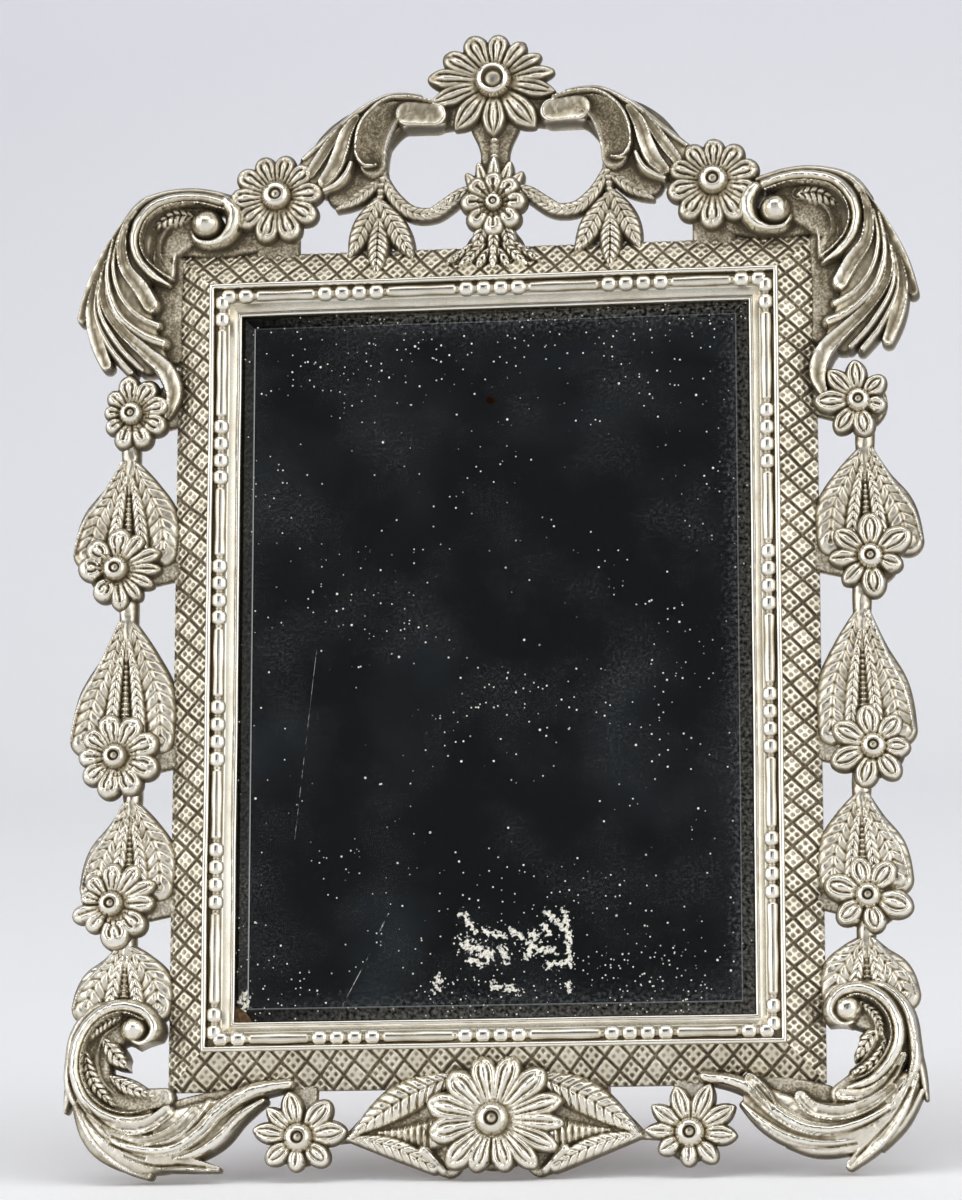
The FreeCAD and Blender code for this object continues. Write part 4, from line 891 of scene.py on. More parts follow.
def castings() -> list[Casting]:
    """Draws every chased casting of the frame.

    Returns:
        The castings.
    """
    made = [
        Corner().casting(-1, "corner_scroll_top_left"),
        Corner((-83.4, 132)).casting(1, "corner_scroll_top_right"),
        Casting("corner_scroll_bottom_left", LOWER_LEFT, LOWER_LEFT_OPENING, LOWER_LEFT_LINES),
        Casting("corner_scroll_bottom_right", LOWER_RIGHT, LOWER_RIGHT_OPENING, LOWER_RIGHT_LINES),
        Casting("crest_scroll_left", CREST_SCROLL, CREST_OPENING),
        Casting("crest_scroll_right", mirrored(CREST_SCROLL), mirrored(CREST_OPENING)),
        Casting("crest_drop_left", CREST_DROP),
        Casting("crest_drop_right", mirrored(CREST_DROP)),
        Casting("crest_stem", crest_middle()),
        Casting("apron_leaves", apron()),
    ]
    made += [garland.spray(i) for garland in GARLANDS for i in range(len(garland.heights))]
    made += [bloom.casting() for bloom in blooms()]
    return made


# From the flat layout to the standing mirror
@dataclass(frozen=True)
class Stand:
    """How the flat frame leans on its strut.

    Attributes:
        lean: Angle of the frame from upright, in degrees.
        hinge_up: v of the strut's hinge on the flat frame.
        hinge_forward: w of the hinge, behind the frame.
    """

    lean: float = 14.0
    hinge_up: float = 62.0
    hinge_forward: float = -8.4

    def matrix(self) -> Matrix:
        """Turns flat millimetres into metres in the row frame, with the hinge on its joint.

        Returns:
            The turn, shift and scale.
        """
        angle = math.radians(self.lean)
        sine, cosine = math.sin(angle), math.cos(angle)
        turn = Matrix(((1, 0, 0), (0, sine, -cosine), (0, cosine, sine)))
        hinge = Vector(frame["joints"][0]["pos_m"])
        origin = hinge - turn @ Vector((0, self.hinge_up, self.hinge_forward)) * MM
        return Matrix.Translation(origin) @ (turn * MM).to_4x4()


STAND = Stand()


@dataclass
class Shell:
    """A closed mesh before it becomes a piece.

    Attributes:
        points: Corners, in flat millimetres.
        faces: Corner numbers of each face.
        tone: How sheltered each corner is, with tarnish and, on castings, painted shade.
        matt: Where it is stippled matt.
        chart: Place of each corner on the texture sheet.
    """

    points: list
    faces: list
    tone: np.ndarray
    matt: np.ndarray
    chart: np.ndarray

    def piece(self, name: str, material: bpy.types.Material, crease: float = 48.0) -> bpy.types.Object:
        """Makes the Blender object.

        Args:
            name: Name of the piece.
            material: Its finish.
            crease: Angle above which an edge stays sharp, in degrees.

        Returns:
            The object, standing in the row frame.
        """
        mesh = bpy.data.meshes.new(name)
        mesh.from_pydata(self.points, [], self.faces)
        mesh.transform(STAND.matrix())
        for attribute, values in (("tone", self.tone), ("matt", self.matt)):
            layer = mesh.attributes.new(attribute, "FLOAT", "POINT")
            layer.data.foreach_set("value", values.astype(np.float32))
        corners = np.zeros(len(mesh.loops), np.int32)
        mesh.loops.foreach_get("vertex_index", corners)
        chart = mesh.uv_layers.new(name="OFBake")
        chart.data.foreach_set("uv", self.chart[corners].astype(np.float32).ravel())
        mesh.shade_smooth()
        mesh.set_sharp_from_angle(angle=math.radians(crease))
        mesh.materials.append(material)
        piece = bpy.data.objects.new(name, mesh)
        bpy.context.scene.collection.objects.link(piece)
        return piece


def contour(inset: np.ndarray) -> tuple[np.ndarray, np.ndarray, list, list]:
    """Cuts a grid along the line where the inset changes sign.

    Args:
        inset: Distance inside the edge at each grid point.

    Returns:
        Rows of grid point pairs, the share of the way between each pair, faces, and edge pairs
        that run anticlockwise round the sheet. A grid point inside is a pair with itself.
    """
    rows, columns = inset.shape
    flat = inset.ravel()
    inside = flat > 0
    numbers = np.arange(rows * columns).reshape(rows, columns)
    a, b = numbers[:-1, :-1].ravel(), numbers[:-1, 1:].ravel()
    d, c = numbers[1:, :-1].ravel(), numbers[1:, 1:].ravel()
    count = inside[a].astype(int) + inside[b] + inside[c] + inside[d]
    full = count == 4
    part = (count > 0) & ~full
    triangles = np.vstack([np.column_stack([a[part], b[part], c[part]]),
                           np.column_stack([a[part], c[part], d[part]])])
    held = inside[triangles].sum(axis=1)
    size = rows * columns
    polygons, rims = [], []
    whole = triangles[held == 3]
    polygons.append(whole * size + whole)
    quads = np.column_stack([a, b, c, d])[full]

    def pair(p: np.ndarray, q: np.ndarray) -> np.ndarray:
        """One number for a pair of grid points, whichever comes first."""
        return np.minimum(p, q) * size + np.maximum(p, q)

    fours = [quads * size + quads]
    for k in range(3):
        turned = np.roll(triangles, -k, axis=1)
        one = turned[(held == 1) & inside[turned[:, 0]]]
        left, right = pair(one[:, 0], one[:, 1]), pair(one[:, 0], one[:, 2])
        polygons.append(np.column_stack([one[:, 0] * size + one[:, 0], left, right]))
        rims.append(np.column_stack([left, right]))
        two = turned[(held == 2) & ~inside[turned[:, 0]]]
        left, right = pair(two[:, 0], two[:, 1]), pair(two[:, 0], two[:, 2])
        kept = two[:, 1:] * size + two[:, 1:]
        fours.append(np.column_stack([kept, right, left]))
        rims.append(np.column_stack([right, left]))
    threes, fours, rims = np.vstack(polygons), np.vstack(fours), np.vstack(rims)
    keys, places = np.unique(np.concatenate([threes.ravel(), fours.ravel()]), return_inverse=True)
    threes_placed = places[:threes.size].reshape(-1, 3)
    fours_placed = places[threes.size:].reshape(-1, 4)
    rims_placed = np.searchsorted(keys, rims)
    first, second = keys // size, keys % size
    gap = flat[first] - flat[second]
    share = np.where(first == second, 0.0, flat[first] / np.where(gap == 0, 1, gap))
    faces = threes_placed.tolist() + fours_placed.tolist()
    return np.column_stack([first, second]), share, faces, rims_placed.tolist()


def loops_of(rims: list) -> list[list[int]]:
    """Joins edge pairs end to end.

    Args:
        rims: Pairs of corner numbers.

    Returns:
        Closed rings of corner numbers.
    """
    following = dict(rims)
    rings = []
    while following:
        start, corner = following.popitem()
        ring = [start]
        while corner != start:
            ring.append(corner)
            corner = following.pop(corner)
        rings.append(ring)
    return rings


# Shelter and matt of walls and back
WALL_TONE = 0.62
WALL_MATT = 0.6
# Margins of a chart and width of its wall strip, in millimetres
CHART_MARGIN = 2.0
CHART_SPARE = 8.0
WALL_STRIP = 1.2


def shell_of(sheet: Sheet, place: Callable[[np.ndarray, np.ndarray, np.ndarray], np.ndarray],
             back: float) -> Shell:
    """Closes a sheet with walls and a flat back.

    Args:
        sheet: The chased front.
        place: Turns grid places and heights into flat millimetres.
        back: Height of the flat back, in the sheet's own heights.

    Returns:
        The closed mesh.
    """
    pairs, share, faces, rims = contour(sheet.inset)
    u, v = (values.ravel() for values in np.meshgrid(sheet.us, sheet.vs))

    def between(values: np.ndarray) -> np.ndarray:
        """Values at the corners, part of the way along each pair."""
        flat = values.ravel()
        return flat[pairs[:, 0]] * (1 - share) + flat[pairs[:, 1]] * share

    cu, cv = between(u), between(v)
    front = place(cu, cv, between(sheet.height))
    rim = np.unique(np.array(rims).ravel())
    behind = place(cu[rim], cv[rim], np.full(len(rim), back))
    lower = dict(zip(rim.tolist(), range(len(front), len(front) + len(rim))))
    for a, b in rims:
        faces.append([lower[a], lower[b], b, a])
    rings = [[lower[corner] for corner in ring] for ring in loops_of(rims)]
    points = np.vstack([front, behind])
    plane = np.column_stack([cu[rim], cv[rim]])
    flat_rings = [[Vector((*plane[corner - len(front)], 0)) for corner in ring] for ring in rings]
    numbers = [corner for ring in rings for corner in ring]
    for a, b, c in tessellate_polygon(flat_rings):
        side = plane[numbers[b] - len(front)] - plane[numbers[a] - len(front)]
        other = plane[numbers[c] - len(front)] - plane[numbers[a] - len(front)]
        turned = side[0] * other[1] - side[1] * other[0] > 0
        faces.append([numbers[a], numbers[c], numbers[b]] if turned else [numbers[a], numbers[b], numbers[c]])
    tone = np.concatenate([between(sheet.tone()), np.full(len(rim), WALL_TONE)])
    matt = np.concatenate([between(sheet.matt), np.full(len(rim), WALL_MATT)])
    wide = max(np.ptp(sheet.us), np.ptp(sheet.vs)) + CHART_SPARE
    chart = np.column_stack([cu - sheet.us[0] + CHART_MARGIN, cv - sheet.vs[0] + CHART_MARGIN]) / wide
    slope_v, slope_u = np.gradient(np.clip(sheet.inset, -3, 3))
    steep = np.column_stack([between(slope_u)[rim], between(slope_v)[rim]])
    steep /= np.maximum(np.linalg.norm(steep, axis=1, keepdims=True), 1e-9)
    chart = np.vstack([chart, chart[rim] - steep * WALL_STRIP / wide])
    return Shell(points.tolist(), faces, tone, matt, chart)


# Rails of the glass
@dataclass(frozen=True)
class Rail:
    """One lattice rail, mitred at both ends.

    Attributes:
        side: Which side of the glass it runs along.
        outward: Direction away from the glass.
        run: Half length of the sight along the rail.
        offset: Distance from the middle of the glass to the sight's edge.
        diamond: Length and width of one diamond of the lattice.
        inner: Distance of its inner edge from the sight.
        outer: Distance of its outer edge from the sight.
        inner_height: Height of the inner edge.
        outer_height: Height of the outer edge.
        line_depth: Depth of the cut lines.
        line_width: Width of the cut lines.
        dot_depth: Depth of the punched dots.
        dot_radius: Radius of the punched dots.
        dot_away: Distance of a dot from the diamond's middle, as a share of the diamond.
        pillow: Fall of a diamond's face at one millimetre from its middle.
        groove: Depth at which a place counts as fully sheltered.
        mitre: Share that turns distance along the rail into distance from the mitre.
        grid: Spacing of the mesh.
        back: Height of the flat back.
    """

    side: str
    outward: Point
    run: float
    offset: float
    diamond: Point
    inner: float = 9.0
    outer: float = RAIL_EDGE
    inner_height: float = 10.0
    outer_height: float = 3.5
    line_depth: float = 0.62
    line_width: float = 0.9
    dot_depth: float = 0.6
    dot_radius: float = 0.6
    dot_away: float = 0.19
    pillow: float = 0.012
    groove: float = 0.42
    mitre: float = 0.7
    grid: float = 0.25
    back: float = 0.15

    def sheet(self) -> Sheet:
        """Cuts the lines and punches the dots of the lattice.

        Returns:
            Their depths below the plain slope.
        """
        reach = self.run + self.outer + 1
        sheet = Sheet((-reach, self.inner - 1), (reach, self.outer + 1), self.grid)
        along, across = np.meshgrid(sheet.us, sheet.vs)
        sheet.inset = np.minimum(np.minimum(across - self.inner, self.outer - across),
                                 (self.run + across - np.abs(along)) * self.mitre)
        # Lines cut by hand waver by up to half a millimetre
        along = along + 0.3 * np.sin(along / 11 + across / 5) + 0.2 * np.sin(along / 3.7)
        length, width = self.diamond
        first, second = along / length + across / width, along / length - across / width
        a, b = first - np.floor(first) - 0.5, second - np.floor(second) - 0.5
        within = (0.5 - np.maximum(np.abs(a), np.abs(b))) / math.hypot(1 / length, 1 / width)
        wall = np.clip((within - 0.3 * self.line_width) / (0.35 * self.line_width), 0, 1)
        local_along, local_across = (a + b) / 2 * length, (a - b) / 2 * width
        sheet.height -= (self.line_depth * (1 - wall**2 * (3 - 2 * wall))
                         + self.pillow * (local_along**2 + local_across**2))
        # Each diamond's punch lands a little off its place and a little deeper or shallower
        luck = np.sin(12.9 * np.floor(first) + 78.2 * np.floor(second))
        steps = (self.dot_away * length, self.dot_away * width)
        for du, dv in ((steps[0], 0), (-steps[0], 0), (0, steps[1]), (0, -steps[1])):
            away = np.hypot(local_along - du - 0.2 * luck, local_across - dv + 0.15 * luck)
            sheet.height -= self.dot_depth * (0.8 + 0.2 * luck) * np.exp(-((away / self.dot_radius) ** 4))
        sheet.groove = self.groove
        sheet.matt = 0.8 * (1 - wall)
        return sheet

    def beside_glass(self, along: np.ndarray, across: np.ndarray, height: np.ndarray) -> np.ndarray:
        """Puts places along and across the rail on the flat frame.

        Args:
            along: Distance along the rail, from its middle.
            across: Distance from the sight's edge.
            height: Height over the flat frame.

        Returns:
            Rows of u, v and w.
        """
        n = self.outward
        return np.column_stack([n[0] * (self.offset + across) + n[1] * along,
                                n[1] * (self.offset + across) - n[0] * along, height])

    def place(self, along: np.ndarray, across: np.ndarray, height: np.ndarray) -> np.ndarray:
        """Puts lattice places on the rail's slope.

        Args:
            along: Distance along the rail, from its middle.
            across: Distance from the sight's edge.
            height: Height over the plain slope, or FLAT_BACK for the back.

        Returns:
            Rows of u, v and w.
        """
        slope = (self.outer_height - self.inner_height) / (self.outer - self.inner)
        rise = self.inner_height + (across - self.inner) * slope
        return self.beside_glass(along, across, np.where(height <= FLAT_BACK, self.back, rise + height))


# Height that stands for a rail's back
FLAT_BACK = -99.0
LEVEL_RAIL = (SIGHT_W, SIGHT_H, (7.2, 7.8))
UPRIGHT_RAIL = (SIGHT_H, SIGHT_W, (6.8, 7.4))
RAILS = (
    Rail("top", (0, 1), *LEVEL_RAIL),
    Rail("right", (1, 0), *UPRIGHT_RAIL),
    Rail("bottom", (0, -1), *LEVEL_RAIL),
    Rail("left", (-1, 0), *UPRIGHT_RAIL),
)


def lofted(rail: Rail, sections: np.ndarray, tone: np.ndarray) -> Shell:
    """Joins cross sections into a closed bar along a rail.

    Args:
        rail: The rail that it lies on.
        sections: Along, across and height of each point of each section. The last point repeats the first.
        tone: How sheltered each point is.

    Returns:
        The closed mesh.
    """
    stations, corners = tone.shape
    points = rail.beside_glass(*sections.reshape(-1, 3).T)
    numbers = np.arange(stations * corners).reshape(stations, corners)
    sides = np.stack([numbers[:-1, :-1], numbers[1:, :-1], numbers[1:, 1:], numbers[:-1, 1:]], axis=-1)
    ends = [numbers[0, :-1].tolist(), numbers[-1, :-1][::-1].tolist()]
    across, along = np.meshgrid(np.linspace(0.03, 0.97, corners), np.linspace(0.02, 0.98, stations))
    chart = np.column_stack([along.ravel(), across.ravel()])
    faces = sides.reshape(-1, 4).tolist() + ends
    return Shell(points.tolist(), faces, tone.ravel(), np.zeros(tone.size), chart)


@dataclass(frozen=True)
class Moulding:
    """Polished strip round the glass: lip, cove, bead seat and rounded fillet.

    Attributes:
        profile: Distance from the sight's edge, height, and shelter, from the lip's back to the fillet's.
        wave: Depth of the unevenness that drawing by hand leaves.
        wave_length: Length of its main waves, divided by two pi.
        stations: Cross sections along one side.
    """

    profile: Sequence[tuple[float, float, float]] = (
        (0, 4.75, 0.8), (0, 5.95, 0.5), (0.12, 6.3, 0.34), (0.4, 6.54, 0.28), (0.75, 6.6, 0.28),
        (1.1, 6.5, 0.36), (1.35, 6.36, 0.5), (1.6, 6.46, 0.54), (2, 6.86, 0.46), (2.6, 7.7, 0.4),
        (3.1, 8.6, 0.4), (3.3, 8.95, 0.44), (3.55, 9.1, 0.64), (7.2, 9.1, 0.86), (7.45, 9.5, 0.84),
        (7.5, 10.7, 0.46), (7.62, 11.1, 0.3), (7.9, 11.4, 0.24), (8.25, 11.5, 0.22), (8.6, 11.4, 0.24),
        (8.88, 11.1, 0.32), (9, 10.6, 0.46), (9, 4.75, 0.8), (0, 4.75, 0.8))
    wave: float = 0.05
    wave_length: float = 9.0
    stations: int = 121

    def shell(self, rail: Rail) -> Shell:
        """Builds the strip of one side, mitred at both ends.

        Args:
            rail: The rail that it lies on.

        Returns:
            The closed mesh.
        """
        # Each side is uneven in its own way
        random = np.random.default_rng(round(rail.run + 10 * rail.outward[0] + 3 * rail.outward[1]))
        across, height, shelter = np.array(self.profile, float).T
        along = np.linspace(-1, 1, self.stations)[:, None] * (rail.run + across)
        swell = sum(self.wave / k * np.sin(along / (self.wave_length / k) + random.uniform(0, 6)
                                           + 0.3 * height) for k in (0.6, 1, 2.3))
        shown = (across > across.min()) & (across < across.max())
        sections = np.stack([along, across + 0.6 * swell * shown, height + swell * shown], axis=-1)
        return lofted(rail, sections, np.broadcast_to(shelter, along.shape).copy())


@dataclass(frozen=True)
class BeadWire:
    """Half-round wire with groups of four beads, pressed into the moulding's seat.

    Attributes:
        across: Distance of its axis from the sight's edge.
        level: Height of its axis.
        bead: Radius of a bead.
        reel: Radius of the plain wire.
        neck: Radius beside a bead.
        pitch: Spacing of the beads.
        groups: Spacing of the groups.
        corner: Distance of a corner's outermost bead from the mitre.
        sunk: Angle by which its sides reach below the axis.
        step: Distance between cross sections.
    """

    across: float = 5.35
    level: float = 9.05
    bead: float = 2.3
    reel: float = 1.8
    neck: float = 1.25
    pitch: float = 5.1
    groups: float = 42.0
    corner: float = 1.95
    sunk: float = 0.25
    step: float = 0.22

    def beads(self, rail: Rail) -> list[float]:
        """Spreads the beads along one side, two of them in each corner.

        Args:
            rail: The rail that it lies on.

        Returns:
            Distance of each from the middle of the side.
        """
        half, count = rail.run + self.across, int(2 * rail.run // (self.groups + self.pitch))
        found = [(group - (count - 1) / 2) * self.groups + (place - 1.5) * self.pitch
                 for group in range(count) for place in range(4)]
        return found + [end * (half - self.corner - place * self.pitch)
                        for end in (-1, 1) for place in range(2)]

    def shell(self, rail: Rail) -> Shell:
        """Builds the wire of one side, mitred at both ends.

        Args:
            rail: The rail that it lies on.

        Returns:
            The closed mesh.
        """
        half = rail.run + self.across
        along = np.linspace(-half, half, int(2 * half / self.step))
        nearest = np.abs(along[:, None] - np.array(self.beads(rail))).min(axis=1)
        # Plain wire swells up a little beyond a bead and is drawn unevenly
        swell = np.clip((nearest - self.bead - 0.3) / 1.4, 0, 1)
        plain = self.reel * np.sqrt(np.clip(swell * (2 - swell), 0, 1)) * (0.94 + 0.06 * np.sin(along / 2.3))
        ball = self.bead * np.sqrt(np.maximum(1 - (2 * nearest / self.pitch) ** 3, 0))
        radius = np.maximum(np.maximum(ball, plain), self.neck)[:, None]
        turn = np.append(np.linspace(-self.sunk, math.pi + self.sunk, 19), -self.sunk)
        spread = radius * np.cos(turn)
        reach = np.clip(along[:, None], -(half + spread), half + spread)
        sections = np.stack([reach, self.across + spread, self.level + radius * np.sin(turn)], axis=-1)
        # Tops of beads lie open, necks and undersides are sheltered
        open_air = np.clip(radius / self.reel, 0, 1.15) * np.clip(0.55 + 0.45 * np.sin(turn), 0, 1)
        return lofted(rail, sections, np.clip(1.12 - 0.76 * open_air, 0.25, 0.95))


@dataclass(frozen=True)
class Rivets:
    """Domed heads with a drilled dimple, one at the eye of each flower.

    Attributes:
        profile: Radius as a share of the head's, height as a share of its rise, and shelter.
        turns: Corners around a head.
        foot: Height of a head's foot over the flower's seat.
        rise: Height of a head: a fixed part, and a share of its radius.
        charts: Heads in one row of the texture sheet.
        chart: Radius of a head there.
    """

    profile: Sequence[tuple[float, float, float]] = (
        (0.0, 0.78, 0.48), (0.2, 0.77, 0.52), (0.3, 0.71, 0.72), (0.36, 0.62, 0.9), (0.41, 0.7, 0.8),
        (0.45, 0.95, 0.4), (0.5, 1.0, 0.24), (0.62, 0.97, 0.32), (0.75, 0.88, 0.42), (0.87, 0.7, 0.48),
        (0.95, 0.48, 0.56), (0.99, 0.25, 0.7), (1.0, 0.0, 0.9))
    turns: int = 56
    foot: float = 2.8
    rise: Point = (1.9, 0.5)
    charts: int = 4
    chart: float = 0.11

    def shell(self, flowers: Sequence[Bloom]) -> Shell:
        """All the heads as one mesh.

        Args:
            flowers: The flowers that they hold.

        Returns:
            The mesh.
        """
        points, faces, tone, chart = [], [], [], []
        rings = len(self.profile)
        for number, flower in enumerate(flowers):
            start = len(points)
            low, rise = flower.seat + self.foot, self.rise[0] + self.rise[1] * flower.boss
            home = [(place + 0.5) / self.charts for place in (number % self.charts, number // self.charts)]
            for step in range(self.turns):
                turn = 2 * math.pi * step / self.turns
                c, s = math.cos(turn), math.sin(turn)
                for share, lift, shelter in self.profile:
                    share = float(np.interp(share, (0, 0.5, 1), (0, 0.5 * flower.dimple, 1)))
                    radius = max(share, 0.01) * flower.boss
                    points.append((flower.eye[0] + radius * c, flower.eye[1] + radius * s, low + rise * lift))
                    tone.append(shelter)
                    spread = self.chart * (share + 0.12 * (1 - lift))
                    chart.append((home[0] + spread * c, home[1] + spread * s))
            for step in range(self.turns):
                here, there = start + step * rings, start + (step + 1) % self.turns * rings
                faces += [[here + k, here + k + 1, there + k + 1, there + k] for k in range(rings - 1)]
            faces.append([start + step * rings for step in range(self.turns)])
            faces.append([start + step * rings + rings - 1 for step in reversed(range(self.turns))])
        return Shell(points, faces, np.array(tone), np.zeros(len(tone)), np.array(chart))


# Finishes
Tree = bpy.types.NodeTree
Socket = bpy.types.NodeSocket
Stops = Sequence[tuple[float, str]]


def linear(code: str) -> tuple[float, float, float, float]:
    """Turns an sRGB hex colour into linear light.

    Args:
        code: Six hex digits after a #.

    Returns:
        Linear red, green, blue, and full alpha.
    """
    values = [int(code[i:i + 2], 16) / 255 for i in (1, 3, 5)]
    return (*[x / 12.92 if x <= 0.04045 else ((x + 0.055) / 1.055) ** 2.4 for x in values], 1.0)


def node(tree: Tree, kind: str, inputs: dict | None = None, stops: Stops = (),
         **settings: Any) -> bpy.types.Node:
    """Adds a node with its settings and links.

    Args:
        tree: Where it goes.
        kind: Blender's name for it, without the word ShaderNode.
        inputs: A value or a socket for each input, by name or number.
        stops: Places and colours of a colour ramp.
        settings: The node's own properties.

    Returns:
        The node.
    """
    made = tree.nodes.new("ShaderNode" + kind)
    for name, value in settings.items():
        setattr(made, name, value)
    for key, value in (inputs or {}).items():
        if isinstance(value, Socket):
            tree.links.new(value, made.inputs[key])
        else:
            made.inputs[key].default_value = value
    for place, (position, code) in enumerate(stops):
        elements = made.color_ramp.elements
        stop = elements[place] if place < min(2, len(elements)) else elements.new(position)
        stop.position = position
        stop.color = linear(code)
    return made


def per_mm(size: float) -> float:
    """Texture scale that gives a pattern of this size in millimetres."""
    return 1 / (size * MM)


def clouds(tree: Tree, place: Socket, size: float, detail: float, **more: float) -> Socket:
    """Cloudy pattern of this size in millimetres."""
    scale = {"Vector": place, "Scale": per_mm(size), "Detail": detail}
    return node(tree, "TexNoise", {**scale, **more}).outputs["Fac"]


def ranged(tree: Tree, value: Socket, low: float, high: float, first: float, last: float) -> Socket:
    """Value that runs from first to last while another runs from low to high."""
    return node(tree, "MapRange", {0: value, 1: low, 2: high, 3: first, 4: last}).outputs[0]


def ramp(tree: Tree, value: Socket, *stops: tuple[float, str]) -> Socket:
    """Colour that follows a value."""
    return node(tree, "ValToRGB", {"Fac": value}, stops).outputs["Color"]


def fine_relief(tree: Tree, height: Socket, strength: Any, depth: float) -> Socket:
    """Grain of this depth in millimetres."""
    values = {"Height": height, "Strength": strength, "Distance": depth * MM}
    return node(tree, "Bump", values).outputs["Normal"]


@dataclass(frozen=True)
class Finish:
    """A surface finish.

    Attributes:
        name: What the material is.
    """

    name: str

    def material(self) -> bpy.types.Material:
        """Builds the material.

        Returns:
            The material.
        """
        made = bpy.data.materials.new(self.name)
        made.use_nodes = True
        made.node_tree.nodes.clear()
        surface = self.surface(made.node_tree)
        node(made.node_tree, "OutputMaterial", {"Surface": surface.outputs[0]})
        return made

    def surface(self, tree: Tree) -> bpy.types.Node:
        """Builds the shader."""
        raise NotImplementedError


@dataclass(frozen=True)
class Silver(Finish):
    """Silver that is bright where it is handled and dark where polish never reaches.

    Attributes:
        tones: Colours from the proudest edge to the deepest groove.
        gloss: Roughness on proud places and in sheltered ones.
        patch: Size of the cloudy patches in the polish, in millimetres.
        grit: Size of the grain that the mould or the punch left, in millimetres.
        grain: Depth of that grain in millimetres.
    """

    tones: Stops = ((0.2, "#f6f2e7"), (0.48, "#ddd6c6"), (0.64, "#b5ab95"), (0.78, "#8a7f69"),
                    (0.95, "#5a5140"))
    gloss: Point = (0.2, 0.5)
    patch: float = 9.0
    grit: float = 0.65
    grain: float = 0.2

    def surface(self, tree: Tree) -> bpy.types.Node:
        """Metal whose colour, gloss and grain follow how sheltered it is.

        Args:
            tree: Where its nodes go.

        Returns:
            The shader.
        """
        place = node(tree, "TexCoord").outputs["Object"]
        # The tone carries patina in the hollows, and painted shade that darkens the castings towards the top
        sheltered = node(tree, "Attribute", attribute_name="tone").outputs["Fac"]
        matt = node(tree, "Attribute", attribute_name="matt").outputs["Fac"]

        def add_to(value: Socket, other: Any, share: Any) -> Socket:
            """A value plus a share of another."""
            return node(tree, "Math", {0: other, 1: share, 2: value}, operation="MULTIPLY_ADD").outputs[0]

        patches = clouds(tree, place, self.patch, 5, Roughness=0.6)
        shift = ranged(tree, patches, 0.3, 0.7, -0.09, 0.09)
        tone = node(tree, "Math", {0: sheltered, 1: shift}, operation="ADD").outputs[0]
        grit = clouds(tree, place, self.grit, 3)
        tone = add_to(tone, matt, ranged(tree, grit, 0.35, 0.65, -0.13, 0.13))
        rough = add_to(ranged(tree, tone, 0.3, 0.85, *self.gloss), matt, 0.14)
        strength = add_to(ranged(tree, tone, 0.35, 0.85, 0.06, 0.4), matt, 0.6)
        return node(tree, "BsdfPrincipled", {
            "Base Color": ramp(tree, tone, *self.tones), "Metallic": ranged(tree, tone, 0.7, 0.98, 1.0, 0.5),
            "Roughness": rough, "Normal": fine_relief(tree, grit, strength, self.grain)})


Streak = tuple[float, float, float, float, float]


